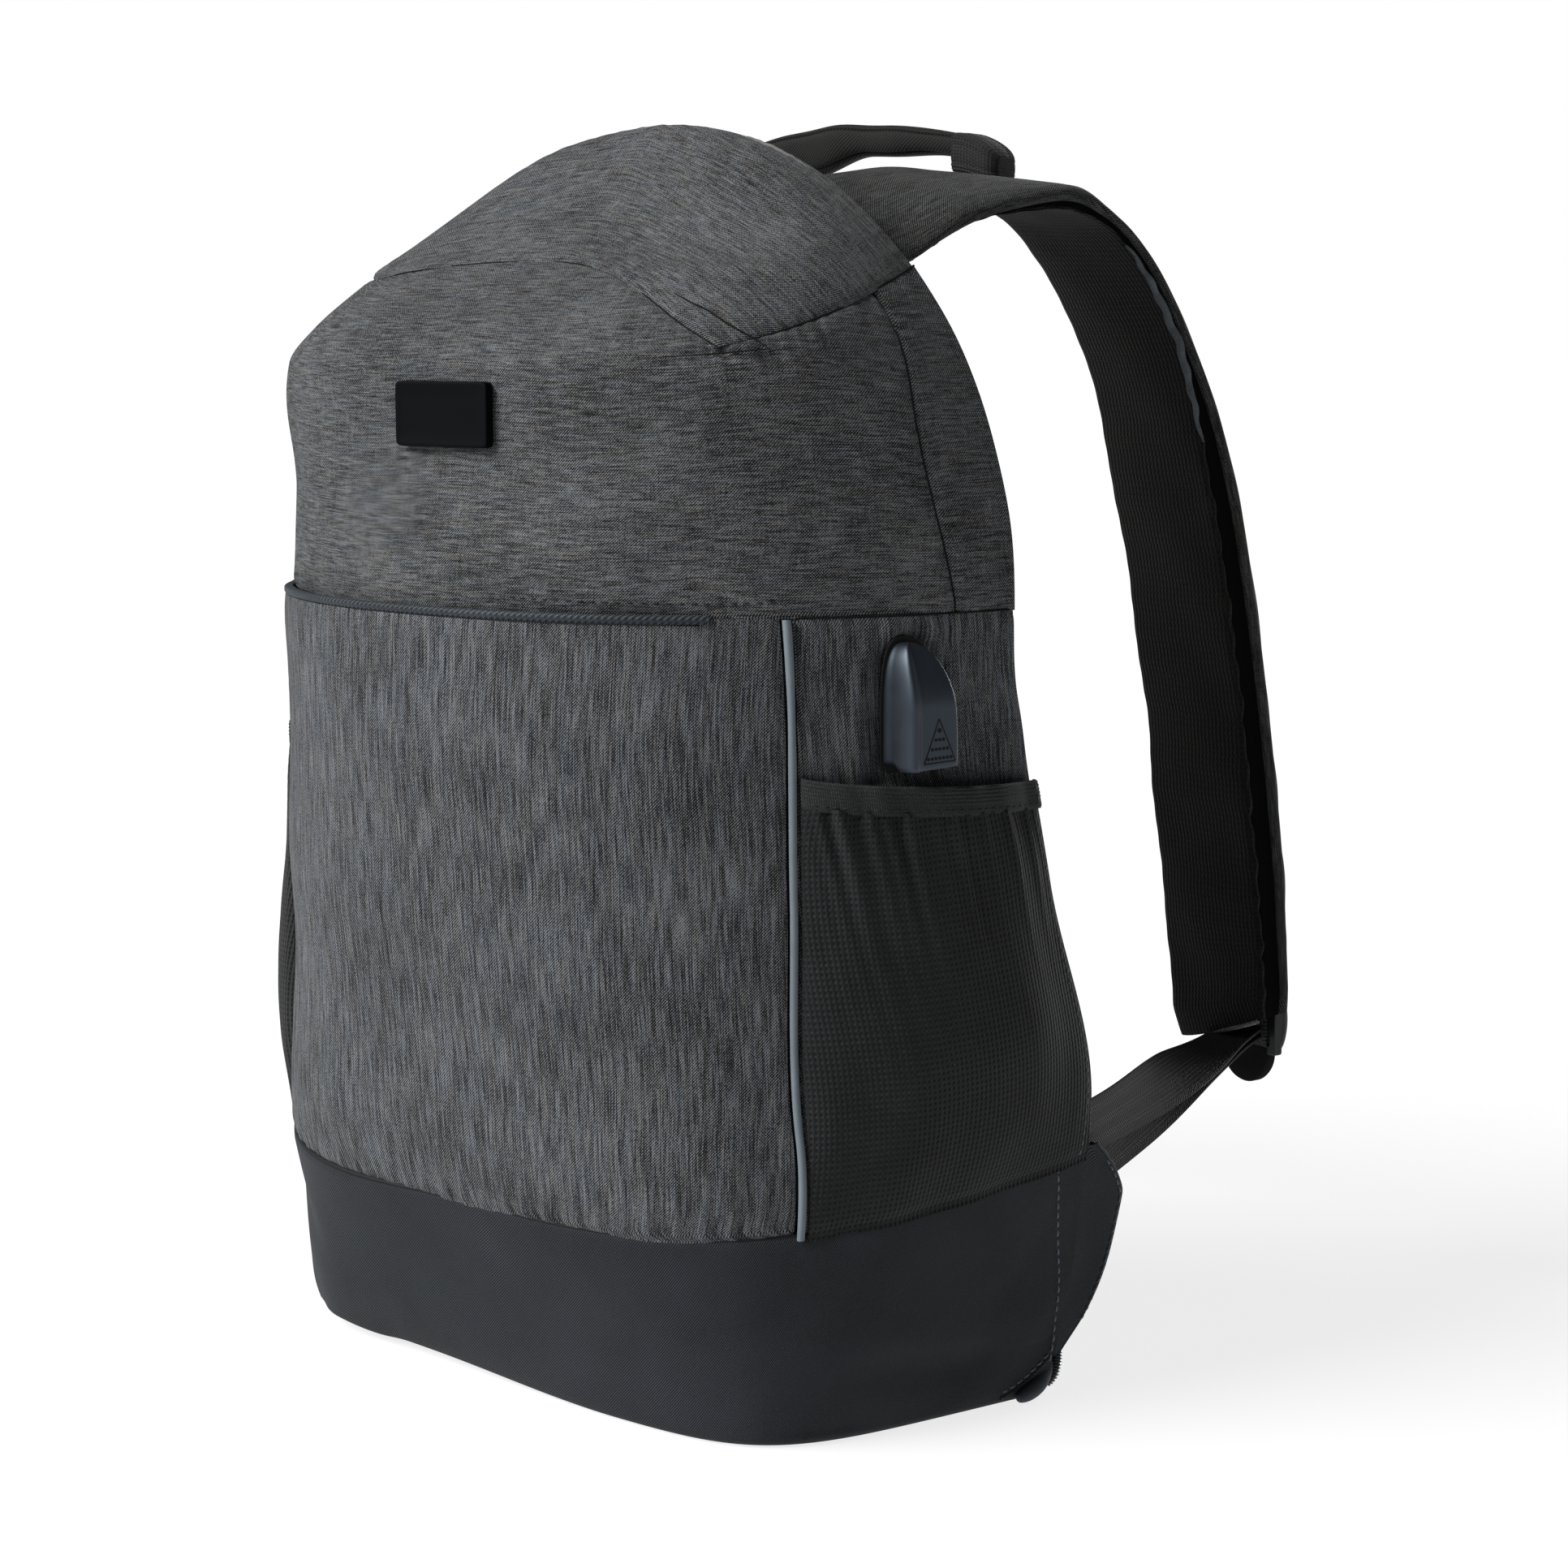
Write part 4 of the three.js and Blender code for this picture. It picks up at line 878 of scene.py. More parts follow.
UPPER_FOLDS = [
    ((80, -70, 365.5), (112, -46, 368.0), 2.6, -0.9),
    ((106, -50, 371), (116, -42, 363), 3.2, -1.5),
    ((98, -61, 362), (124, -34, 346), 7.0, 0.9),
    ((104, -57, 356), (124, -33, 332), 6.0, -0.9),
    ((92, -66, 352), (112, -50, 322), 9.0, 0.7),
    ((70, -73, 344), (98, -60, 312), 11.0, -0.7),
    ((40, -80, 372), (86, -69, 356), 10.0, 0.6),
    ((-60, -77, 392), (20, -80, 386), 9.0, 0.5),
    ((-118, -40, 372), (-98, -60, 340), 12.0, 0.8),
    ((-122, -36, 345), (-104, -55, 312), 10.0, -0.8),
    ((124, -32, 318), (134, -16, 296), 8.0, 0.7),
]


UPPER_LAPS = [((82, -70.5, 368), (113, -45, 371), 8.0, 1.1)]


def front_upper_panel():
    """Cloth between the pocket seam and the hood seam: the body surface, drawn in above the slip
    pocket, with sewn edges, a dart at the right hood corner and soft folds."""
    rows, cols = 84, 270
    middle_z = 330.0
    share = even_turns(middle_z, cols, turn_at_depth(GUSSET_DEPTH(middle_z), middle_z))

    def turn_of(z):
        low = turn_at_depth(GUSSET_DEPTH(z) - LAP, z)
        return turn_between(low, share)

    top = np.full(cols + 1, HOOD_BACK_Z)
    for _ in range(SEAM_STEPS):
        top = hood_seam_z(turn_of(top))
    v = np.linspace(0, 1, rows + 1)[:, None]
    z = lerp(SEAM_Z - LAP, top + LAP, v)
    turn = turn_of(z)
    skin = body(turn, z)
    cloth = raised(skin, -drawn_in(turn, z))
    right, left, low, high = edge_runs(cloth)
    relief = folds(cloth, UPPER_FOLDS) + lapped(cloth, UPPER_LAPS) \
        + 0.25 * ripples(right, low, seed=11, wave=60.0)
    relief += sewn(high, right, seed=12, dip=0.8, reach=2.0) \
        + sewn(low, right, seed=13, dip=0.8, reach=2.0, pucker=0.35, wave=6.0, fade=5.0)
    relief += sewn(right, low, seed=14, dip=0.8) + sewn(left, low, seed=15, dip=0.8)
    return raised(cloth, relief), cloth


def height_at(depth, x):
    """Height at which the body is just that wide at a depth, by halving the range."""
    low, high = np.full_like(x, SEAM_Z), np.full_like(x, HEIGHT)
    for _ in range(40):
        middle = (low + high) / 2
        inside = (width_at_depth(depth, middle) > x) & (depth < DEEP(middle))
        low, high = np.where(inside, middle, low), np.where(inside, high, middle)
    return low


TOP_FOLDS = [
    ((60, -40, 398), (118, -10, 392), 6.0, 0.7),
    ((30, -30, 412), (110, 6, 402), 8.0, -0.5),
    ((-20, -50, 404), (50, -46, 400), 7.0, 0.4),
    ((-110, -12, 400), (-40, -40, 404), 9.0, 0.5),
]


def top_panel():
    """Hood between its seam and the back arch: the side share of each column goes from the seam to the
    arch, and its height follows from the body surface."""
    rows, cols = 64, 230
    u, v = shares(rows, cols)
    back_turn = np.arcsin((HOOD_BACK_Z - SEAM_Z) / (HEIGHT - SEAM_Z))
    turn = lerp(HOOD_CORNER_TURN, PI - HOOD_CORNER_TURN, u)
    front = body(turn, hood_front_z(turn) - LAP)
    front_depth = BACK_Y - front[:, 1]
    arch = lerp(back_turn, PI - back_turn, u)

    def side_width(depth):
        return width_at_depth(depth, hood_side_z(depth, hood_drop(turn)) - LAP)

    share = lerp(front[:, 0] / side_width(front_depth), np.cos(arch) / np.cos(back_turn), v)
    depth = front_depth * (1 - v)
    x = share * side_width(depth)
    cloth = np.stack([x, BACK_Y - depth, height_at(depth, np.abs(x))], -1)
    right, left, low, high = edge_runs(cloth)
    relief = folds(cloth, TOP_FOLDS) + 0.25 * ripples(right, low, seed=21, wave=55.0)
    relief += sewn(low, right, seed=22, dip=0.7, reach=2.0) \
        + sewn(high, right, seed=23, dip=0.4, reach=2.0, pucker=0.15)
    sides = sewn(right, low, seed=24, dip=0.7, reach=2.0) + sewn(left, low, seed=25, dip=0.7, reach=2.0)
    relief += smoothstep(high, 0, 14) * sides
    ridge = bell(low - 3.4, 1.5) * smoothstep(cloth[..., 0], 20, 70)
    relief += 0.12 * ridge
    hem = bell(high - 4.0, 1.2)
    return raised(cloth, relief - 0.35 * hem), cloth


def back_gusset(drop):
    """Strip between the front panel and the back edge on the right side: the body surface by depth."""
    rows, cols = 84, 22
    u, v = shares(rows, cols)
    top = hood_side_z(GUSSET_DEPTH(HOOD_BACK_Z) * u, drop) + LAP
    z = lerp(SEAM_Z - LAP, top, v)
    depth = (GUSSET_DEPTH(z) + LAP) * u
    cloth = body(turn_at_depth(depth, z), z)
    right, left, low, high = edge_runs(cloth)
    relief = sewn(left, low, seed=31, dip=0.8) \
        + sewn(high, right, seed=32, dip=0.7, reach=2.0) * smoothstep(right, 0, 12)
    relief += sewn(low, right, seed=33, dip=0.8, reach=2.0) * smoothstep(right, 0, 8)
    hem = bell(right - 4.0, 1.2)
    return raised(cloth, relief - 0.35 * hem + 0.2 * ripples(right, low, seed=34, wave=40.0)), cloth


# Lower body

SIDE_FOLDS = [
    ((150, -30, 282), (157, 4, 279), 3.5, 0.8),
    ((148, -34, 262), (154, -24, 277), 4.0, -0.7),
    ((158, 6, 278), (160, 18, 262), 4.5, 0.8),
    ((159, 20, 276), (161, 34, 250), 6.0, -0.6),
]


def side_panel():
    """Side cloth from the base to the seam: the body surface from the back edge to the piping, and the
    relief of its seams."""
    rows, cols = 110, 62
    u, v = shares(rows, cols)
    front_y = PIPING_Y + PIPING_RADIUS
    rough = lerp(REAR(BASE_FRONT_Z), front_y, u)
    z = lerp(base_top_z(rough) - BASE_TUCK, SEAM_Z + LAP, v)
    y = lerp(REAR(z), front_y, u)
    cloth = body(turn_at_y(y, z), z)
    right, left, low, high = edge_runs(cloth)
    relief = sewn(high, right, seed=41, dip=0.9, reach=2.2, pucker=0.4, wave=6.0) \
        + sewn(left, low, seed=42, dip=0.7, reach=2.0, pucker=0.2) \
        + sewn(right, low, seed=43, dip=0.8, reach=2.2, pucker=0.25) \
        + 0.25 * ripples(right, low, seed=44, wave=50.0)
    sunk = 1.2 * smoothstep(np.minimum(right, left), 0, 6) * (1 - smoothstep(cloth[..., 2], 195, 212))
    return cloth, relief - sunk


def front_cloth(edge_y, top_z, inset, rows, cols):
    """Front cloth from one piping to the other, tucked behind the base: the body surface, drawn in."""
    share = even_turns(FRONT_EVEN_Z, cols, turn_at_y(edge_y, FRONT_EVEN_Z))
    v = np.linspace(0, 1, rows + 1)[:, None]
    low_turn = turn_at_y(edge_y, BASE_FRONT_Z)
    low_y = body(turn_between(low_turn, share), BASE_FRONT_Z)[:, 1]
    z = lerp(base_top_z(low_y) - BASE_TUCK, top_z, v)
    edge = turn_at_y(edge_y, z)
    turn = turn_between(edge, share)
    skin = body(turn, z)
    return raised(skin, -np.broadcast_to(inset(share), z.shape)), turn


POCKET_FOLDS = [
    ((-120, -44, 150), (-116, -48, 90), 9.0, -1.0),
    ((-95, -60, 110), (-92, -62, 82), 6.0, -0.8),
    ((-60, -74, 118), (-58, -74, 80), 7.0, 0.8),
    ((-20, -80, 112), (-18, -79, 78), 8.0, -0.6),
    ((70, -70, 120), (74, -68, 78), 8.0, 0.7),
    ((112, -52, 130), (114, -50, 82), 6.0, -0.7),
    ((-70, -76, 270), (40, -80, 262), 9.0, -0.7),
]
BINDING_END_X = 96.0


def front_pocket_panel():
    """Slip pocket cloth: the front cloth up to its tape, and on the right up to the seam, with puckers
    at the base and a lip that stands off towards the left."""
    rows, cols = 136, 250
    edge_y = PIPING_Y - PIPING_RADIUS
    share = even_turns(FRONT_EVEN_Z, cols, turn_at_y(edge_y, FRONT_EVEN_Z))
    edge = turn_at_y(edge_y, SEAM_Z)
    top_x = body(turn_between(edge, share), SEAM_Z)[:, 0]
    sewn_shut = smoothstep(top_x, BINDING_END_X, BINDING_END_X + 3)
    top = lerp(SEAM_Z - BINDING_TALL - GAP, SEAM_Z + LAP, sewn_shut)
    cloth, turn = front_cloth(edge_y, top, lambda s: 0 * s, rows, cols)
    right, left, low, high = edge_runs(cloth)
    lip = smoothstep(turn, PI * 0.4, PI * 0.72) * bell(high, 20.0) * smoothstep(left, 0, 25)
    relief = folds(cloth, POCKET_FOLDS) + 0.35 * ripples(right, low, seed=51, wave=70.0)
    relief += sewn(low - BASE_TUCK, right, seed=52, dip=0.9, reach=2.4, pucker=0.5, wave=8.0, fade=12.0)
    relief += sewn(right, low, seed=53, dip=0.6, reach=2.0, pucker=0.2) \
        + sewn(left, low, seed=54, dip=0.6, reach=2.0, pucker=0.2)
    return raised(cloth, relief + 2.6 * lip), cloth, 2.6 * lip


def front_wall():
    """Inner cloth behind the slip pocket: the front cloth, drawn in further towards the middle."""
    def behind(share):
        middle = np.sqrt(np.maximum(1 - np.abs(2 * share - 1) ** 3, 0))
        return 3.9 + (SLIT - 3.0) * middle
    return front_cloth(PIPING_Y + 4, SEAM_Z - GAP, behind, 60, 120)[0]


def pocket_binding(lip):
    """Folded tape on the pocket's lip: a rounded bead carried along the body from the left piping to
    where the pocket is sewn shut."""
    count = 220
    z = SEAM_Z - BINDING_TALL
    edge = turn_at_y(PIPING_Y - PIPING_RADIUS, z)
    share = even_turns(FRONT_EVEN_Z, lip.shape[1] - 1, turn_at_y(PIPING_Y, FRONT_EVEN_Z))
    turn = turn_between(edge, share)
    path = body(turn, z)
    near = np.argmin(np.abs(path[:, 0] - BINDING_END_X - 3.4))
    want = np.linspace(near, lip.shape[1] - 1, count + 1)
    at = np.arange(lip.shape[1])
    turn = np.interp(want, at, turn)
    stand = np.interp(want, at, lip[-1])
    step = 0.004
    tangent = unit(body(turn + step, z) - body(turn - step, z))
    out = np.cross(UP, tangent)
    centre = body(turn, z) + out * stand[:, None]
    angle = full_turn(20)
    across = 1.7 * signed_power(np.cos(angle), 0.7) - 1.1
    rise = 1.5 * signed_power(np.sin(angle), 0.6) + 1.6
    rings = centre[:, None, :] + out[:, None, :] * across[None, :, None]
    rings[..., 2] += rise[None, :]
    return tube(rings)


def piping(thick, stand):
    """Round cord along the pocket's edge: a circle carried up the body at the piping's y."""
    count = 150
    z = np.linspace(base_top_z(PIPING_Y) - 1.0, SEAM_Z - GAP, count + 1)
    skin = body(turn_at_y(PIPING_Y, z), z)
    near = body(turn_at_y(PIPING_Y, z) + 0.01, z)
    along_body = unit(near - skin)
    up = unit(np.gradient(skin, axis=0))
    out = unit(np.cross(up, along_body))
    run = np.linspace(0, 1, count + 1)
    fat = thick * (1 + 0.05 * ripple_line(run * 200, seed=61, wave=30.0) + 0.12 * smoothstep(run, 0.93, 1))
    centre = skin + out * stand
    return tube(centre[:, None] + fat[:, None, None] * round_about(18, along_body[:, None], out[:, None]))


def pocket_cloth(low_z, high_z, proud, rows, cols, fullness):
    """Bottle pocket cloth: the side of the body moved out, most in its lower half and held at its edges."""
    u, v = shares(rows, cols)
    front_y = PIPING_Y + PIPING_RADIUS + GAP
    rough = lerp(REAR(POCKET_MIDDLE_Z), front_y, u)
    z = lerp(low_z(rough), high_z(rough), v)
    y = lerp(REAR(z) - 0.5, front_y, u)
    tall = mouth_z(rough, POCKET_MIDDLE_Z) - base_top_z(y)
    rise = np.clip((z - base_top_z(y)) / tall, 0, 1)
    belly = np.where(rise < BELLY_SHARE, np.sin(rise / BELLY_SHARE * PI / 2), 1)
    mouth, bulge, crown, ease = fullness
    stand = belly * lerp(bulge, mouth, rise ** ease)
    across = np.sin(PI * u) ** crown
    skin = body(turn_at_y(y, z), z)
    return raised(skin, GAP + MESH_WALL + proud + stand * across)


def mesh_pocket(fullness):
    """Stretch mesh: pocket cloth with gathers that hang from the band and fade downwards."""
    cloth = pocket_cloth(
        lambda y: base_top_z(y) - 2.0,
        lambda y: mouth_z(y, POCKET_MIDDLE_Z) - BAND_TALL + 1.0, 0.0, 110, 110, fullness)
    right, left, low, high = edge_runs(cloth)
    inner = smoothstep(np.minimum(right, left), 0, 12)
    gather = ripple_line(right, seed=71, wave=9.0) * np.exp(-high / 26.0) * inner
    pull = ripples(right, low * 0.35, seed=72, wave=26.0) * inner
    return raised(cloth, 0.75 * gather + 0.4 * pull - 0.8 * bell(low - 2.0, 2.5)), cloth


def mesh_binding(fullness):
    """Elastic band at a pocket's mouth: pocket cloth with five fine ribs and a flat sewn border."""
    cloth = pocket_cloth(
        lambda y: mouth_z(y, POCKET_MIDDLE_Z) - BAND_TALL,
        lambda y: mouth_z(y, POCKET_MIDDLE_Z), 0.4, 40, 120, fullness)
    right, left, low, high = edge_runs(cloth)
    share = low / (low + high)
    ribs = np.where(share > 0.36, np.abs(np.sin(PI * (share - 0.36) / 0.64 * 5)), 0.45)
    rolled = -0.5 * bell(high, 0.8) - 0.4 * bell(low, 0.7)
    wavy = 0.35 * ripple_line(right, seed=73, wave=18.0) * smoothstep(np.minimum(right, left), 0, 10)
    bead = 1.6 * bell(right, 5.0) - 1.6 * bell(right, 1.2)
    return raised(cloth, 0.3 * ribs + rolled + wavy + bead)


def base_tub():
    """Base: floor, rounded lower edge and wall as one cloth, its top edge standing slightly proud."""
    cols = 300
    share = even_turns(30.0, cols, 0.0)
    turn = PI * share
    flat = np.linspace(0, 1, FLOOR_ROWS)[:, None]
    edge = tub_wall(turn, np.zeros_like(turn), np.full_like(turn, BASE_ROUND))
    floor = np.broadcast_to(edge, (FLOOR_ROWS, cols + 1, 3)).copy()
    floor[..., 1] = lerp(REAR(0.0), edge[:, 1], flat)
    angle = np.linspace(0, PI / 2, 9)[1:, None]
    bend = tub_wall(turn, BASE_ROUND * (1 - np.cos(angle)), BASE_ROUND * (1 - np.sin(angle)))
    top = np.full(cols + 1, BASE_FRONT_Z)
    for _ in range(6):
        top = base_top_z(body(turn, top)[:, 1]) - GAP / 2
    wall_share = np.linspace(0, 1, 60)[1:, None]
    wall = tub_wall(turn, lerp(BASE_ROUND, top, wall_share), 0.0 * wall_share)
    return np.concatenate([floor, bend, wall]), len(flat) + len(angle)


def tub_wall(turn, z, inset):
    """Base wall at a turn and height, drawn in towards the middle of the back edge."""
    turn, z, inset = np.broadcast_arrays(turn, z, inset)
    point = body(turn, z)
    point[..., 0] *= 1 - inset / HALF(0.0)
    point[..., 1] = REAR(z) - (REAR(z) - point[..., 1]) * (1 - inset / DEEP(0.0))
    return point


BASE_FOLDS = [
    ((128, -20, 26), (150, 30, 18), 8.0, -1.6),
    ((146, 20, 30), (155, 56, 34), 9.0, 0.8),
    ((110, -44, 40), (140, -6, 52), 14.0, -0.8),
    ((-140, 20, 40), (-120, -30, 30), 12.0, -0.8),
    ((-60, -76, 34), (10, -78, 24), 10.0, -0.8),
    ((-118, -40, 66), (-96, -56, 36), 8.0, -1.0),
    ((70, -72, 52), (112, -46, 24), 9.0, 0.8),
    ((-138, -16, 10), (-112, -44, 8), 15.0, 3.0),
    ((-150, 10, 48), (-126, -32, 44), 13.0, -4.4),
]
HEM_FRONT_Y = 38.0
TAPE_ROUTE = [(151.4, 43, 2.0), (152.0, 49, 3.2), (152.2, 55, 5.2), (151.6, 60.5, 9), (151.2, 62, 14)]
COIL_ROUTE = [(149.5, 62.5, 1.6), (152.3, 64.2, 7), (153.3, 65.0, 15.5)]


def base_cloth(tub, wall_row):
    """Outer and inner face of the base: the tub with folds and a rolled top edge on its wall, and with
    its front left corner drawn in and lifted."""
    right, left, low, high = edge_runs(tub)
    wall = np.arange(tub.shape[0])[:, None] >= wall_row
    relief = wall * (folds(tub, BASE_FOLDS) + 0.35 * ripples(right, low, seed=62, wave=80.0))
    relief += wall * (0.7 * np.exp(-high / 14.0) - 0.9 * bell(high, 0.9))
    relief *= smoothstep(np.minimum(right, left) + 40 * (high < 70), 0, 30)
    normal = normals_of(tub)
    normal[:FLOOR_ROWS] = (0, 0, -1)
    normal[:, 0], normal[:, -1] = normal[:, 1], normal[:, -2]
    normal[:, 0, 1] = normal[:, -1, 1] = 0
    cloth = tub + normal * relief[..., None]
    keep_in_front(cloth)
    x, y, z = np.moveaxis(cloth.copy(), -1, 0)
    toe = smoothstep(-x, -50, 70) * smoothstep(-y, 16, 44) * np.clip(1 - z / 45, 0, 1) ** 2
    cloth[..., 1] += TOE_DRAW * toe * (1 - smoothstep(-x, 60, 112))
    cloth[..., 2] += TOE_LIFT * toe * (1 - 0.7 * smoothstep(-x, 60, 100))
    heel = smoothstep(-x, 70, 98) * smoothstep(-y, -24, 16) * np.clip(1 - z / 32, 0, 1)
    cloth[..., 2] += HEEL_LIFT * heel
    inner = cloth - normal * CLOTH
    keep_in_front(inner)
    return cloth, inner


def hem_z(y):
    """Height of the hem that shows the zip's end at the base's back corner: a power of the way back."""
    share = np.clip((y - HEM_FRONT_Y) / (REAR(0.0) + 2.5 - HEM_FRONT_Y), 0, 1)
    return 3.0 + 11.5 * share ** 1.5


def hem_path(out, count):
    """Line along the hem on the base's side, moved out from the cloth."""
    y = np.linspace(REAR(0.0) + 1.5, HEM_FRONT_Y, count)
    z = hem_z(y)
    return np.stack([width_at_depth(REAR(z) - y, z) + out, y, z], 1)


def zip_end_tape():
    """Zip tape rolled round the base's back corner: a soft rod that swells in its middle."""
    path = through(TAPE_ROUTE, 40)
    share = np.linspace(0, 1, 41)
    return cord(path, 0.9 + 2.3 * np.sin(PI * share ** 0.8) ** 0.7, 20)


def zip_end_teeth():
    """End of the zip's coil at the base's back corner: a rod ringed by its turns."""
    path = through(COIL_ROUTE, 130)
    run = np.linspace(0, 1, 131)
    ends = np.sqrt(np.maximum(1 - (2 * run - 1) ** 8, 0.02))
    return cord(path, (1.95 + 0.35 * np.cos(2 * PI * run * 13)) * ends, 18)


# Rear closure

def back_outline(share, inset, foot_z):
    """Outline of the back from the right foot over the arch to the left foot, inset to its middle."""
    straight = 0.3
    near = np.minimum(share, 1 - share)
    side = np.where(share <= 0.5, 1.0, -1.0)
    low_z = lerp(foot_z, SEAM_Z, np.clip(near / straight, 0, 1))
    angle = np.clip((near - straight) / (0.5 - straight), 0, 1) * PI / 2
    arch_x = (half_width(SEAM_Z) - inset) * np.cos(angle)
    arch_z = SEAM_Z + (HEIGHT - SEAM_Z - inset) * np.sin(angle)
    low = near < straight
    x = np.where(low, half_width(low_z) - inset, arch_x)
    return side * x, np.where(low, low_z, arch_z)


def outline_path(inset, foot_z, out, count):
    """The back outline as points at an even step, standing out from the back plane."""
    share = np.linspace(0, 1, 1600)
    x, z = back_outline(share, inset, foot_z)
    return evenly(np.stack([x, REAR(z) + out, z], 1), count)


def main_zip():
    """Zip: two woven tapes, each a flat strip along the back outline, with a seam between them."""
    made = []
    for inset in (ZIP_INSET, ZIP_INSET + ZIP_WIDE / 2 + 0.25):
        wide = ZIP_WIDE / 2 - 0.25
        outer = outline_path(inset, ZIP_FOOT_Z, 0.0, 420)
        inner = outline_path(inset + wide, ZIP_FOOT_Z, 0.0, 420)
        corner = [(0.0, 0.4), (0.05, 2.0), (0.3, 2.35), (0.7, 2.35), (0.95, 2.0), (1.0, 0.4)]
        rings = np.stack([lerp(outer, inner, a) + np.array([0, b, 0]) for a, b in corner], 1)
        made.append(tube(rings))
    return joined(made)


def rods(path, out, pitch, length, fat):
    """Teeth of a coil: short bent rods across a path, evenly along it."""
    side = unit(np.cross(np.gradient(path, axis=0), out))
    span = length_along(path)
    count = int(span[-1] / pitch)
    middle = (np.arange(count) + 0.5) * span[-1] / count
    centre = looked_up(middle, span, path)
    across = unit(looked_up(middle, span, side))
    up = unit(looked_up(middle, span, out))
    along = unit(np.cross(up, across))
    skew = np.where(np.arange(count) % 2 == 0, 0.1, -0.1)[:, None] * length
    angle = full_turn(ROD_SIDES)
    a = np.repeat(np.array([-0.5, -0.3, 0.0, 0.3, 0.5]) * length, ROD_SIDES)
    b = np.tile(fat * np.cos(angle), ROD_RINGS)
    bend = np.repeat(np.array([-0.5, 1.4, 1.8, 1.4, -0.5]) * fat, ROD_SIDES)
    c = np.tile(fat * np.sin(angle), ROD_RINGS) + bend
    points = (centre + skew * across)[:, None] + a[None, :, None] * across[:, None] \
        + b[None, :, None] * along[:, None] + c[None, :, None] * up[:, None]
    return points.reshape(-1, 3), rod_faces(count), np.zeros((count * ROD_RINGS * ROD_SIDES, 2))


def zip_teeth():
    """Coil of the zip along the back outline."""
    path = outline_path(ZIP_INSET + ZIP_WIDE / 2, ZIP_FOOT_Z, 2.35, 1500)
    return rods(path, np.tile(np.array([0, 1.0, 0]), (len(path), 1)), 1.35, 3.4, 0.42)


def zip_slider():
    """Slider and pull: rounded sections carried down the zip, wide at the slider and thin at the pull."""
    x, z = back_outline(np.array(SLIDER_SHARE), ZIP_INSET + ZIP_WIDE / 2, ZIP_FOOT_Z)
    drop = np.array([6.5, 6, 4.5, 2, -2, -5, -6, -6.6, -7.5, -9, -14, -20, -24, -26, -26.8])
    wide = np.array([0.3, 1.4, 2.5, 3.1, 3.1, 2.9, 2.2, 1.3, 1.2, 1.7, 2.1, 2.3, 2.1, 1.4, 0.3])
    deep = np.array([0.3, 1.2, 1.7, 2.0, 2.0, 1.9, 1.5, 0.9, 0.8, 0.9, 0.9, 0.9, 0.9, 0.7, 0.2])
    out = np.array([4.2, 4.3, 4.6, 4.8, 4.8, 4.9, 5.2, 5.4, 5.4, 5.3, 5.2, 5.1, 5.1, 5.1, 5.1])
    angle = full_turn(20)
    across = x + wide[:, None] * signed_power(np.cos(angle), 0.6)
    proud = (REAR(z + drop) + out)[:, None] + deep[:, None] * signed_power(np.sin(angle), 0.6)
    return tube(points_of(across, proud, (z + drop)[:, None]))


def pad_swell(x, z):
    """Swell of the back pad: rises from its edge to a level top as a quarter circle does."""
    up = np.maximum(z - SEAM_Z, 0) / (HEIGHT - SEAM_Z - PANEL_INSET)
    across = np.abs(x) / (half_width(np.minimum(z, SEAM_Z)) - PANEL_INSET)
    reach = np.minimum((1 - np.hypot(across, up)) * HALF(SEAM_Z) / PAD_EDGE, 1)
    return PAD_SWELL * np.sqrt(np.maximum(reach * (2 - reach), 0))


def back_pad(shrink):
    """Padded back as a closed grid: a flat face towards the load and a swelling one to the wearer."""
    rows, cols = 90, 60
    x, z = back_outline(np.linspace(0, 0.5, rows + 1) * 0.995, PANEL_INSET + shrink, 1.5)
    across = np.linspace(1, -1, cols + 1)
    wide = x[:, None] * across
    tall = np.broadcast_to(z[:, None], wide.shape)
    face = np.stack([wide, REAR(tall) + PAD_EDGE_THICK + pad_swell(wide, tall), tall], -1)
    flat = np.stack([wide, REAR(tall) + 0.5, tall], -1)
    count = (rows + 1) * (cols + 1)
    ring, after = edge_ring(rows + 1, cols + 1)
    rim = np.stack([ring, ring + count, after + count, after], -1)
    faces = [grid_faces(rows + 1, cols + 1, 0, True), grid_faces(rows + 1, cols + 1, count), rim]
    points = np.concatenate([face.reshape(-1, 3), flat.reshape(-1, 3)])
    return points, faces, points[:, [0, 2]]


PUFF_FRAMES = 20


def puffed(thing, pressure, cap):
    """Padded fabric by cloth simulation: inflated for some frames, no point moving further than the
    cap, then one subdivision."""
    count = len(thing.data.vertices)
    rest = np.empty(count * 3, np.float32)
    thing.data.vertices.foreach_get("co", rest)
    cloth = thing.modifiers.new("inflate", "CLOTH")
    settings = cloth.settings
    settings.quality = 5
    settings.mass = 0.3
    settings.use_pressure = True
    settings.uniform_pressure_force = pressure
    settings.effector_weights.gravity = 0
    settings.tension_stiffness = 15
    settings.compression_stiffness = 15
    cloth.point_cache.frame_start = 1
    cloth.point_cache.frame_end = PUFF_FRAMES
    scene = bpy.context.scene
    for step in range(1, PUFF_FRAMES + 1):
        scene.frame_set(step)
    apply_modifiers(thing)
    scene.frame_set(1)
    moved = np.empty(count * 3, np.float32)
    thing.data.vertices.foreach_get("co", moved)
    step = (moved - rest).reshape(-1, 3)
    far = np.linalg.norm(step, axis=1, keepdims=True)
    step *= np.minimum(1, cap * MM / np.maximum(far, 1e-9))
    thing.data.vertices.foreach_set("co", (rest.reshape(-1, 3) + step).ravel())
    thing.data.shade_smooth()
    smooth = thing.modifiers.new("smooth", "SUBSURF")
    smooth.levels = 1
    smooth.render_levels = 1
    apply_modifiers(thing)


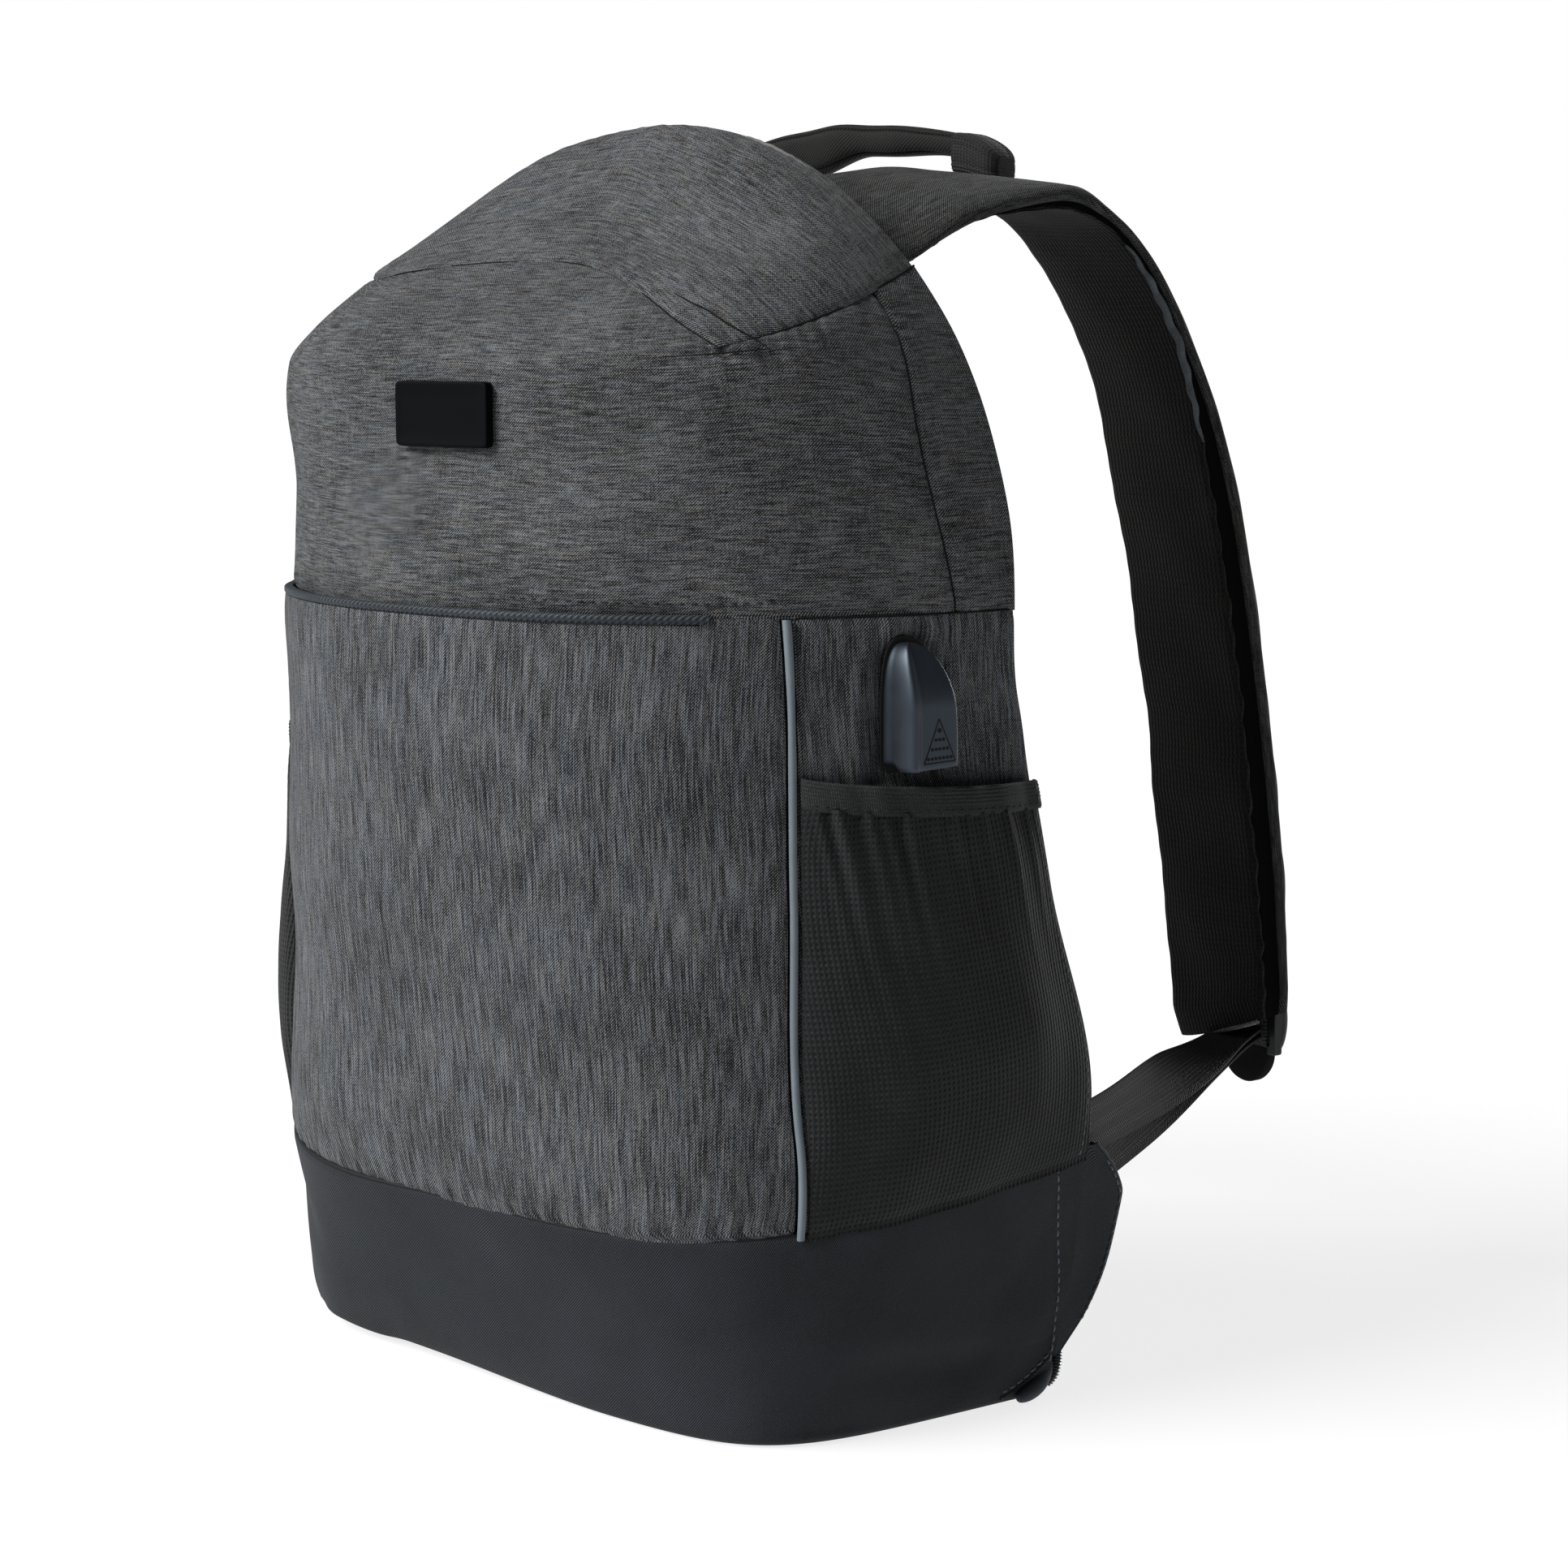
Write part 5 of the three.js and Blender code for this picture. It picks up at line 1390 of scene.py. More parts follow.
def apply_modifiers(thing):
    """The evaluated mesh in place of the object's own, with no modifier left on it."""
    graph = bpy.context.evaluated_depsgraph_get()
    mesh = bpy.data.meshes.new_from_object(thing.evaluated_get(graph))
    old = thing.data
    thing.modifiers.clear()
    thing.data = mesh
    mesh.name = old.name
    bpy.data.meshes.remove(old)


def wing():
    """Corner wing: a flat tab that carries the base's side behind the back edge."""
    rows, cols = 60, 20
    z = np.linspace(WING[0, 0], WING[-1, 0], rows + 1)[:, None]
    u = np.linspace(0, 1, cols + 1)
    out = GAP + (WING_REACH(z) - GAP) * (1 - u)
    cloth = points_of(half_width(z) + WING_FLARE * out, REAR(z) + out, z)
    right, _, low, _ = edge_runs(cloth)
    rolled = -0.7 * bell(right, 1.0) - 0.25 * bell(right - 3.0, 0.8)
    return raised(cloth, rolled + 0.2 * ripples(right, low, seed=81, wave=30.0)), cloth


def wing_threads(base_wall):
    """Threads along the wing's edge, along the fold on the base's side before it, and along the hem. The
    fold lies on the cloth by the mean of its nearest points, weighted by nearness."""
    edge_z = np.linspace(84, 24, 80)
    reach = WING_REACH(edge_z) - 2.5 * np.hypot(1, np.gradient(WING_REACH(edge_z), edge_z))
    edge = points_of(half_width(edge_z) + WING_FLARE * reach + 0.45, REAR(edge_z) + reach, edge_z)
    fold_z = np.linspace(87, 12, 60)
    fold_y = REAR(fold_z) - lerp(14.6, 1.2, np.linspace(0, 1, 60) ** 0.9)
    side = base_wall.reshape(-1, 3)
    side = side[side[:, 0] > 100]
    far = np.hypot(side[:, 1] - fold_y[:, None], side[:, 2] - fold_z[:, None])
    near = np.argsort(far, axis=1)[:, :4]
    weight = 1 / (np.take_along_axis(far, near, 1) + 0.1)
    fold_x = (side[near, 0] * weight).sum(1) / weight.sum(1)
    fold = points_of(fold_x - 0.05, fold_y, fold_z)
    hem = hem_path(0.25, 40) + np.array([0, 0, 2.0])
    out = np.array([1.0, 0, 0])
    return joined([
        stitches(edge, np.tile(np.array([1.0, -WING_FLARE, 0]), (80, 1)), pitch=3.6, length=2.7, radius=0.36),
        stitches(fold, np.tile(out, (60, 1)), pitch=3.6, length=2.8, radius=0.38),
        stitches(hem, np.tile(out, (40, 1)), pitch=3.4, length=2.6, radius=0.36),
    ])


# Shoulder straps

def in_loop(r, z):
    """Point of the strap's upright plane, which splays outwards from its root."""
    r, z = np.broadcast_arrays(np.asarray(r, float), np.asarray(z, float))
    return np.stack([np.sin(STRAP_SPLAY) * r, np.cos(STRAP_SPLAY) * r, z], -1)


def strap_frame(way):
    """Centre of the strap's mesh face, its direction across and its direction away from the wearer."""
    low, high = np.maximum(way - 0.02, 0), np.minimum(way + 0.02, STRAP_LAST)
    run = unit(np.stack([STRAP_R(high) - STRAP_R(low), STRAP_Z(high) - STRAP_Z(low)], -1))
    roll = np.radians(STRAP_ROLL(way))[:, None]
    splay = STRAP_SPLAY * smoothstep(way, 0, SPLAY_ROWS)
    flat = np.stack([np.cos(splay), -np.sin(splay), 0 * splay], -1)
    upright = in_loop(-run[:, 1], run[:, 0])
    across = flat * np.cos(roll) - upright * np.sin(roll)
    out = upright * np.cos(roll) + flat * np.sin(roll)
    return in_loop(STRAP_R(way), STRAP_Z(way)) + STRAP_ROOT, across, out


def round_ring(corners, count):
    """A smooth closed curve through corner points, sampled evenly."""
    p = np.asarray(corners, float)
    s = np.linspace(0, len(p), count * 8, endpoint=False)
    i = s.astype(int)
    t = (s - i)[:, None]
    curve = cubic(*(p[(i + k) % len(p)] for k in (-1, 0, 1, 2)), t)
    return evenly(np.concatenate([curve, curve[:1]]), count)[:-1]


def strap_ways(count):
    """Rows of the strap at even steps of its length, from inside the back seam to the free end."""
    way = np.linspace(0, STRAP_LAST, 2000)
    centre = in_loop(STRAP_R(way), STRAP_Z(way))
    run = length_along(centre)
    want = np.linspace(-ROOT_TUCK, run[-1], count + 1)
    return np.interp(want, run, way), want


ROOT_TUCK = 7.0
END_CORNER = 11.0
END_CHAMFER = 4.4
END_SLANT = 15.0
END_REACH = 70.0
SCALLOP = 13.0
PAD_TOP = 1 - COVER_SHARE
MESH_RING = [
    (-0.95, 0.22), (-0.99, 0.18), (-1.0, 0.11), (-0.95, 0.04), (-0.8, 0.01), (-0.4, -0.02), (0, -0.03),
    (0.4, -0.02), (0.8, 0.01), (0.95, 0.04), (1.0, 0.1), (0.985, 0.15), (0.94, 0.2), (0.5, 0.22), (0, 0.22),
    (-0.5, 0.22),
]
CORE_RING = [
    (-0.955, 0.74), (-0.965, 0.45), (-0.95, 0.16), (-0.5, 0.14), (0, 0.14), (0.5, 0.14), (0.95, 0.14),
    (0.965, 0.45), (0.955, 0.74), (0.5, 0.76), (0, 0.76), (-0.5, 0.76),
]


def strap_layer(corners, around, count, shape):
    """Rings of a strap layer: half-width shares and thickness shares carried along the strap; its inner
    corner is cut off at the free end, which rises towards its outer edge."""
    way, run = strap_ways(count)
    centre, across, out = strap_frame(way)
    along = unit(np.gradient(centre, axis=0))
    along[run < 1] = along[np.searchsorted(run, 1)]
    thin = 1 - 0.34 * smoothstep(run, 84, 104) * (1 - smoothstep(run, 150, 235))
    centre = centre + along * np.minimum(run, 0)[:, None]
    ring = round_ring(corners, around)
    side = np.broadcast_to(ring[:, 0], (count + 1, around)).copy()
    depth = np.broadcast_to(ring[:, 1], (count + 1, around)).copy()
    run = run[:, None]
    side, depth = shape(side, depth, run)
    cut = END_CHAMFER * np.clip(1 - (run[-1] - run) / END_CORNER, 0, 1) ** 1.2
    inner = np.maximum(-side, 0)
    outer = np.maximum(side, 0)
    root = 0.15 * (1 - smoothstep(run, 10, 75))
    half = STRAP_WIDE(way)[:, None] / 2
    shift = side * half + inner * cut - outer * (cut * 0.3 + root * half)
    slant = END_SLANT * np.clip((side + 1) / 2, 0, 1) ** 1.36 * smoothstep(run, run[-1] - END_REACH, run[-1])
    rings = centre[:, None] + across[:, None] * shift[..., None] - along[:, None] * slant[..., None] \
        + out[:, None] * (depth * (STRAP_THICK(way) * thin)[:, None])[..., None]
    uv = np.stack([run_along(rings, 1), np.broadcast_to(run, side.shape)], -1)
    return rings, uv


def pad_depth(depth, run):
    """Thickness share of the pad: thin at its root, fuller along the chest and fullest at its end."""
    full = lerp(0.38, 1, smoothstep(run, 30, 105)) + 0.3 * smoothstep(run, 120, 230)
    full = full + 0.15 * smoothstep(run, 260, 380)
    return PAD_TOP - (PAD_TOP - depth) * full


def mesh_shape(side, depth, run):
    """Scalloped edges and a soft face for the strap's mesh."""
    edge = smoothstep(np.abs(side), 0.9, 1.0)
    wavy = 0.02 * np.cos(2 * PI * run / SCALLOP) + 0.008 * ripple_line(run + 0 * side, seed=91, wave=22.0)
    soft = 0.02 * ripples(run + 0 * side, side * 27, seed=92, wave=45.0) * (depth < 0.15)
    return side * (1 + edge * wavy * np.where(side > 0, 0.9, 0.25)), pad_depth(depth + soft, run)


def strap_pad():
    """Mesh side of a strap: a thin crowned layer with rounded, scalloped edges."""
    return strap_layer(MESH_RING, 88, 230, mesh_shape)


def strap_core():
    """Foam wall of a strap between its mesh and its cover, its black deepened as painted shade: a box section
    just inside their edges.
    """
    return strap_layer(CORE_RING, 40, 160, lambda side, depth, run: (side, pad_depth(depth, run)))


def strap_selvedge(rings):
    """Raw edge of the cover cloth that shows along the strap's slanted end: a rod that thins inwards."""
    ring = round_ring(MESH_RING, rings.shape[1])
    path = rings[-1][(ring[:, 1] < 0.06) & (ring[:, 0] > -0.3) & (ring[:, 0] < 0.97)]
    path = evenly(path, 40) + np.array([0, 0, -0.2])
    share = np.linspace(0, 1, 41)
    fuzz = 0.12 * ripple_line(share * 60, seed=95, wave=3.0)
    return cord(path, (0.85 + fuzz) * smoothstep(share, -0.05, 0.45), 10)


def strap_edging(rings):
    """Pale edge of the cover cloth beside the mesh at the shoulder: a rod that thins at both ends."""
    column = np.argmax(round_ring(MESH_RING, rings.shape[1])[:, 0])
    run = strap_ways(rings.shape[0] - 1)[1]
    path = evenly(rings[(run > 112) & (run < 196), column], 80)
    share = np.linspace(0.01, 0.99, 81)
    fuzz = 0.1 * ripple_line(share * 80, seed=96, wave=6.0)
    return cord(path, (1.5 + fuzz) * np.sin(PI * share) ** 0.5, 12)


def strap_cover():
    """Cloth cover of a strap: a crowned face with deep rolled edges and a sewn line inside each edge."""
    foot = 1 - COVER_SHARE + 0.02
    corners = [(-1.02, foot + 0.06), (-1.03, foot + 0.14), (-1.0, foot + 0.24), (-0.93, 0.97), (-0.85, 0.99),
               (-0.4, 1.0), (0.0, 1.0), (0.4, 1.0), (0.85, 0.99), (0.95, 0.96), (1.02, foot + 0.22),
               (1.05, foot + 0.12), (1.03, foot + 0.03), (0.97, foot), (0.5, foot), (0, foot), (-0.5, foot),
               (-0.95, foot)]

    def shape(side, depth, run):
        top = depth > 0.9
        line = bell(np.abs(side) - 0.84, 0.025)
        wavy = 0.02 * ripples(run + 0 * side, side * 27, seed=93, wave=40.0)
        wrap = lerp(1.7, 1.0, smoothstep(run, 120, 215))
        plump = 0.75 * smoothstep(run, 120, 200) * (1 - 0.4 * smoothstep(run, 380, 440))
        depth = 1 - (1 - depth) * wrap
        return side, foot + (depth - foot) * (1 + plump) + top * (wavy - 0.03 * line)

    return strap_layer(corners, 76, 230, shape)


# Adjusters and handle

def webbing(points):
    """Flat webbing: a thin section with fine ribs carried along given points, upright at the wing
    and turned flat at the lock."""
    count, around = 110, 64
    path = through(points, count)
    along = unit(np.gradient(path, axis=0))
    share = np.linspace(0, 1, count + 1)
    across = strap_frame(np.array([STRAP_LAST]))[1][0]
    turn = (smoothstep(share, 0.1, 0.95) * PI / 2)[:, None]
    wide = UP * np.cos(turn) - across * np.sin(turn)
    square = (1 - smoothstep(share, 0.7, 1))[:, None]
    wide = unit(wide - along * ((wide * along).sum(1)[:, None] * square))
    thick = unit(np.cross(along, wide))
    angle = full_turn(around)
    a = signed_power(np.cos(angle), 0.5) * WEB_SEEN / 2
    lines = 0.012 * np.cos(2 * PI * a / 2.6)
    flat = np.abs(np.sin(angle))
    b = np.sign(np.sin(angle)) * (flat ** 0.25 * WEB_THICK / 2 + lines * flat)
    rings = path[:, None] + wide[:, None] * a[None, :, None] + thick[:, None] * b[None, :, None]
    return tube(rings)


LOCK_R = 206.6
LOCK_TOP_Z = 117.0
LOCK_TALL = 27.0
LOCK_HALF = 17.0


def lock_axes():
    """Middle of the lock's foot, with its directions across and away from the wearer."""
    across = np.array([np.cos(STRAP_SPLAY), -np.sin(STRAP_SPLAY), 0])
    out = np.array([np.sin(STRAP_SPLAY), np.cos(STRAP_SPLAY), 0])
    return in_loop(LOCK_R, LOCK_TOP_Z - LOCK_TALL) + STRAP_ROOT, across, out


def lock_rails():
    """Side rails of the lock: upright rods of oval section that bow away from the wearer."""
    foot, across, out = lock_axes()
    share = np.linspace(0, 1, 31)
    angle = full_turn(24)
    end = np.sqrt(np.maximum(1 - (2 * share - 1) ** 6, 0.04))
    made = []
    for side in (-1, 1):
        middle = foot + across * side * (LOCK_HALF - 2.6) + out * (2.6 + 2.6 * np.sin(PI * share))[:, None]
        middle[:, 2] += lerp(0.6, LOCK_TALL - 0.6, share)
        rings = middle[:, None] + end[:, None, None] * (
            2.7 * np.cos(angle)[None, :, None] * across + 3.5 * np.sin(angle)[None, :, None] * out)
        made.append(tube(rings))
    return joined(made)


def lock_tab():
    """Thumb tab below the lock: half a disc with softened edges."""
    foot, across, out = lock_axes()
    angle = np.linspace(PI, 2 * PI, 40)
    made = []
    for level, inset in ((-0.4, 1.0), (0.1, 0.1), (0.8, -0.3), (3.8, -0.3), (4.6, 0.1), (5.0, 1.0)):
        arc = (13.0 - inset) * np.stack([np.cos(angle), np.sin(angle)], 1)
        ring = np.concatenate([arc, [(12.6, 2.5), (-12.6, 2.5)]])
        point = foot + ring[:, :1] * across + level * out
        point[:, 2] += ring[:, 1]
        made.append(point)
    return tube(np.stack(made))


def web_loop():
    """Webbing folded through the lock's slots: a flat rounded section across it, with ribs along it."""
    foot, across, out = lock_axes()
    share = np.linspace(-1, 1, 61)
    angle = full_turn(40)
    ribs = 0.12 * np.cos(2 * PI * share * 12.5 / 2.6)
    c, s = np.cos(angle), np.sin(angle)
    middle = foot + across * (share * (WEB_WIDE / 2))[:, None] + out * 2.2 + np.array([0, 0, 12.0])
    rings = middle[:, None] + (3.1 + ribs)[:, None, None] * signed_power(c, 0.7)[None, :, None] * out
    rings[..., 2] += (10.5 + ribs)[:, None] * signed_power(s, 0.7)
    return tube(rings)


def handle_grip():
    """Handle: a soft rolled tube that sags and thins towards its ends, hangs fuller left of its middle,
    and has a sewn ridge on its top."""
    count, around = 120, 56
    x = np.linspace(-GRIP_HALF - 4, GRIP_HALF + 4, count + 1)
    share = np.abs(x) / GRIP_HALF
    tall = GRIP_TALL * (1 - 0.26 * smoothstep(share, 0.25, 1.0))
    top = GRIP_TOP_Z - GRIP_SAG * 0.9 * share ** 2 - LEFT_SAG * smoothstep(-x, -12, 50)
    slack = 7.0 * smoothstep(-x, -18, 10) * (1 - smoothstep(-x, 34, 56))
    angle = full_turn(around)
    c, s = np.cos(angle), np.sin(angle)
    soft = 0.35 * ripples(x[:, None] + 0 * angle, angle * 6 + 0 * x[:, None], seed=101, wave=24.0)
    fold = 0.8 * bell(angle - 4.05, 0.1) * smoothstep(np.abs(x)[:, None], 62, 40)
    seam = 1.0 * bell(angle - 2.5, 0.09)
    size = 1 + (soft - fold - seam) / (GRIP_TALL / 2)
    low = np.maximum(-s, 0)[None, :] ** 0.8
    y = HANDLE_Y + size * (GRIP_DEEP / 2) * signed_power(c, 0.8)
    z = (top - tall / 2)[:, None] + size * (tall / 2 - 0.3)[:, None] * signed_power(s, 0.8)
    return tube(points_of(x[:, None], y, z - slack[:, None] * low))


SLEEVE_X = (61.0, 80.2)
SLEEVE_ROUND = 5.0


def handle_end():
    """Webbing folded over an end of the grip: a rounded box section with fine ribs along the handle,
    lower and rounded off at its outer end."""
    turn_x = SLEEVE_X[1] - SLEEVE_ROUND
    x = np.concatenate([np.linspace(SLEEVE_X[0], turn_x, 40),
                        turn_x + SLEEVE_ROUND * np.sin(np.linspace(0, PI / 2, 14)[1:])])
    share = (x - SLEEVE_X[0]) / (SLEEVE_X[1] - SLEEVE_X[0])
    top = 449.6 - 8.6 * share ** 2
    foot = lerp(434.6, 430.8, share)
    end = np.sqrt(np.maximum(1 - (np.maximum(x - turn_x, 0) / SLEEVE_ROUND) ** 2, 0.02))
    around = 144
    angle = full_turn(around)
    c, s = np.cos(angle), np.sin(angle)
    ribs = 0.16 * np.cos(2 * PI * np.arange(around) / 6)
    wide = (SLEEVE_DEEP / 2 - 4 * (1 - end))[:, None] + ribs
    half = ((top - foot) / 2 * lerp(0.72, 1, end))[:, None] + ribs
    y = HANDLE_Y + wide * signed_power(c, 0.4)
    z = ((top + foot) / 2)[:, None] + half * signed_power(s, 0.4)
    return tube(points_of(x[:, None], y, z))


# Hard parts

def port_axes():
    """Foot of the charging port's hood on the side cloth, with its directions out and along the bag."""
    z = PORT_FOOT_Z + PORT_TALL / 2
    turn = turn_at_y(PORT_Y, z)
    step = 0.002
    along_body = body(turn + step, z) - body(turn - step, z)
    out = np.cross(UP, along_body)
    out = unit(out * np.array([1, 1, 0]))
    return body(turn, z), out, np.array([-out[1], out[0], 0])


PORT_PLAN = [
    (-1, 0), (-0.4, 0), (0.4, 0), (1, 0), (1.0, 0.4), (1.0, 0.8), (0.96, 0.92), (0.8, 0.945), (0.4, 0.915),
    (0.0, 0.885), (-0.22, 0.87), (-0.33, 0.9), (-0.44, 0.95), (-0.56, 0.92), (-0.66, 0.82), (-0.78, 0.6),
    (-0.9, 0.3),
]


def port_size(share):
    """Half width and depth of the hood by height: sides that round over to a narrow ridge, and a face
    that leans back to the bag above the middle."""
    up = np.clip(share, 0, 1)
    narrow = np.sqrt(np.maximum(1 - up ** 3.7, 0.0))
    lean = 1 - 0.42 * smoothstep(up, 0.5, 1.08) - 0.25 * up ** 14
    return 0.6 + (PORT_WIDE / 2 - 0.6) * narrow, PORT_PROUD * lean


def port_press(cloth):
    """Relief of the side cloth round the hood by the distance from its outline: a dip shaped as a bell,
    and a lower swell further out."""
    level = np.clip((cloth[..., 2] - PORT_FOOT_Z) / PORT_TALL, 0, 1)
    beside = np.abs(cloth[..., 1] - port_axes()[0][1]) - port_size(level)[0]
    over = np.maximum(cloth[..., 2] - PORT_FOOT_Z - PORT_TALL, 0)
    under = np.maximum(PORT_FOOT_Z - 4 - cloth[..., 2], 0)
    away = np.hypot(np.maximum(beside, 0), over + under)
    return -1.8 * bell(away, 3.0) + 0.9 * bell(away - 7.0, 4.0)


def port_rings(share, shrink, around):
    """Rings of the hood at shares of its height, drawn in by a wall's thickness."""
    foot, out, along = port_axes()
    half, proud = port_size(share)
    plan = round_ring(PORT_PLAN, around)
    plan[:, 1] = np.maximum(plan[:, 1], 0)
    half = np.maximum(half - shrink, 0.05)
    proud = np.maximum(proud - 2 * shrink * (shrink > 0), 0.1)
    a = half[:, None] * plan[:, 0] - PORT_LEAN * np.clip(share, 0, 1)[:, None] ** 3
    b = proud[:, None] * plan[:, 1] + PORT_SEAT + (shrink if shrink > 0 else 0)
    points = foot + a[..., None] * along + b[..., None] * out
    low = (1 - np.clip(share, 0, 1))[:, None]
    corner = smoothstep(-plan[:, 0], 0.5, 0.62) * (1 - smoothstep(plan[:, 1], 0.3, 0.6))
    notch = PORT_NOTCH * corner * low ** 6
    points[..., 2] = (PORT_FOOT_Z + share * PORT_TALL)[:, None] + PORT_TILT * a * low + notch
    return points


def usb_hood():
    """Hood of the charging port: an outer pod and a smaller inner one, joined at their open foot."""
    around = 96
    up = np.sin(np.linspace(0, PI / 2, 50))
    outer = port_rings(up, 0.0, around)
    rim = port_rings(np.array([0.0]), 0.3, around)
    rim[..., 2] -= 0.3
    lip = port_rings(np.array([0.0]), PORT_WALL - 0.3, around)
    lip[..., 2] -= 0.1
    inner = port_rings(up * 0.88, PORT_WALL, around)
    return tube(np.concatenate([inner[::-1], lip, rim, outer]))


def port_opening_shade():
    """Painted shade in the cloth opening round the hood: a dark ring, the hood's outline enlarged and kept
    thin.
    """
    around = 96
    up = np.sin(np.linspace(0, PI / 2, 30))
    foot, out, _ = port_axes()
    rings = port_rings(up, 0.0, around)
    away = rings - foot
    off = away @ out
    flat = away - off[..., None] * out
    middle = np.array([0, 0, PORT_FOOT_Z + PORT_TALL * 0.45 - foot[2]])
    thick = np.minimum(off, 1.5)
    return tube(foot + middle + (flat - middle) * 1.09 + (thick - 0.6)[..., None] * out)


def port_face(a, share):
    """Points on the hood's flat outer face, by half-width share and height share."""
    foot, out, along = port_axes()
    half, proud = port_size(share)
    plan = round_ring(PORT_PLAN, 400)
    plan = plan[plan[:, 1] > 0.6]
    plan = plan[np.argsort(plan[:, 0])]
    level = np.interp(a, plan[:, 0], plan[:, 1])
    sideways = (a * half - PORT_LEAN * share ** 3)[..., None] * along
    point = foot + sideways + (level * proud + PORT_SEAT)[..., None] * out
    point[..., 2] = PORT_FOOT_Z + share * PORT_TALL + PORT_TILT * a * half * (1 - share)
    return point, out


DOT_ROWS = [(0.305, 1), (0.23, 3), (0.155, 5), (0.08, 7)]
TRIANGLE = [(0.33, 0.4), (-0.17, 0.045), (0.86, 0.045)]
DOT_PLACE = 0.34


def port_dots():
    """Vent dots on the hood's face: shallow round cups in rows that widen downwards."""
    places = []
    for share, count in DOT_ROWS:
        reach = 0.062 * (count - 1)
        places += [(DOT_PLACE + a, share) for a in np.linspace(-reach, reach, count)]
    a, share = np.array(places).T
    centre, out = port_face(a, share)
    _, _, along = port_axes()
    angle = full_turn(14)
    size = np.where(share > 0.3, 0.8, 0.58)
    made = []
    for radius, middle in zip(size, centre):
        levels = np.array([(1.0, -0.5), (1.0, 0.08), (0.8, 0.14), (0.6, 0.1)])
        rings = middle + levels[:, 0, None, None] * radius * (
            np.cos(angle)[:, None] * along + np.sin(angle)[:, None] * UP) \
            + levels[:, 1, None, None] * out
        made.append(tube(rings))
    return joined(made)


def port_triangle():
    """Fine raised outline round the vent dots: a thin rod along three straight edges."""
    corner = np.array(TRIANGLE + TRIANGLE[:1])
    flat = evenly(corner, 120)
    path, out = port_face(flat[:, 0], flat[:, 1])
    tangent = unit(np.gradient(path, axis=0))
    side = unit(np.cross(tangent, out))
    return tube(path[:, None] + 0.22 * round_about(8, side[:, None], out))


def badge_block():
    """Bare badge: a rounded block, each section a superellipse, softened at its front edge."""
    angle = full_turn(120)
    square = 0.12
    c, s = np.cos(angle), np.sin(angle)
    levels = np.array([
        (0.0, 0.2), (0.0, 0.0), (BADGE_THICK - 0.5, 0.0), (BADGE_THICK - 0.15, 0.12),
        (BADGE_THICK, 0.45), (BADGE_THICK, 1.2), (BADGE_THICK - 0.12, 1.6), (BADGE_THICK - 0.12, 6.0),
    ])
    foot = body(PI / 2, BADGE_Z)[1] - BADGE_SEAT
    out, inset = levels[:, 0, None], levels[:, 1, None]
    x = (BADGE_WIDE / 2 - inset) * signed_power(c, square)
    z = BADGE_Z + (BADGE_TALL / 2 - inset) * signed_power(s, square)
    return tube(points_of(x, foot - out, z))


def eased_copy(name, source, finish, width):
    """A rigid solid with its edges eased: a merged copy of the solid with a small bevel."""
    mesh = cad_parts[source].data.copy()
    mesh.name = name
    mend = bmesh.new()
    mend.from_mesh(mesh)
    bmesh.ops.remove_doubles(mend, verts=mend.verts, dist=1e-5)
    bmesh.ops.dissolve_limit(mend, angle_limit=np.radians(1), verts=mend.verts, edges=mend.edges)
    mend.to_mesh(mesh)
    mend.free()
    mesh.materials.clear()
    mesh.materials.append(finish)
    thing = placed(name, mesh)
    bevel = thing.modifiers.new("ease", "BEVEL")
    bevel.width = width * MM
    bevel.segments = 3
    bevel.limit_method = "ANGLE"
    bevel.angle_limit = np.radians(40)
    mesh.shade_smooth()
    mesh.set_sharp_from_angle(angle=np.radians(40))
    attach(thing, "root")
    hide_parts(source)
    return thing


# Assembly


def panel(name, grid, finish, thick=CLOTH):
    """A cloth wall in place of a solid, mirrored if it is a left one."""
    made = shell(grid, thick)
    thing = piece(f"{name}_look", mirrored(made) if name.endswith("_left") else made, finish, [name])


def both_sides(name, made, finish, nodes=True):
    """A right-hand piece and its mirror image."""
    pair = []
    for side, mesh in (("right", made), ("left", mirrored(made))):
        node_name = (f"{name}_{side}",) if nodes else ()
        pair.append(piece(f"{name}_{side}_look", mesh, finish, node_name))
    return pair


upper, upper_plain = front_upper_panel()
panel("front_upper_panel", upper, HEATHER)
top, top_plain = top_panel()
panel("top_panel", top, HEATHER)
for side, drop in (("right", RIGHT_DROP), ("left", LEFT_DROP)):
    strip, strip_plain = back_gusset(drop)
    right_strip = strip if side == "right" else right_strip
    rests_on = [f"side_panel_{side}", "back_panel"]
    panel(f"back_gusset_{side}", strip, HEATHER)

side_plain, side_relief = side_panel()
side_right = raised(side_plain, side_relief + port_press(side_plain) + folds(side_plain, SIDE_FOLDS))
side_left = raised(side_plain, side_relief)
for side, grid in (("right", side_right), ("left", side_left)):
    panel(f"side_panel_{side}", grid, SLATE)

pocket, pocket_plain, lip = front_pocket_panel()
panel("front_pocket_panel", pocket, SLATE)
inner_wall = front_wall()
panel("front_wall", inner_wall, BASE_TWILL)
piece("pocket_binding_look", pocket_binding(lip), BINDING, ["pocket_binding"])
piece("piping_right_look", piping(thick=1.4, stand=0.5), PIPING, ["piping_right"])
piece("piping_left_look", mirrored(piping(thick=1.1, stand=-0.7)), PIPING, ["piping_left"])

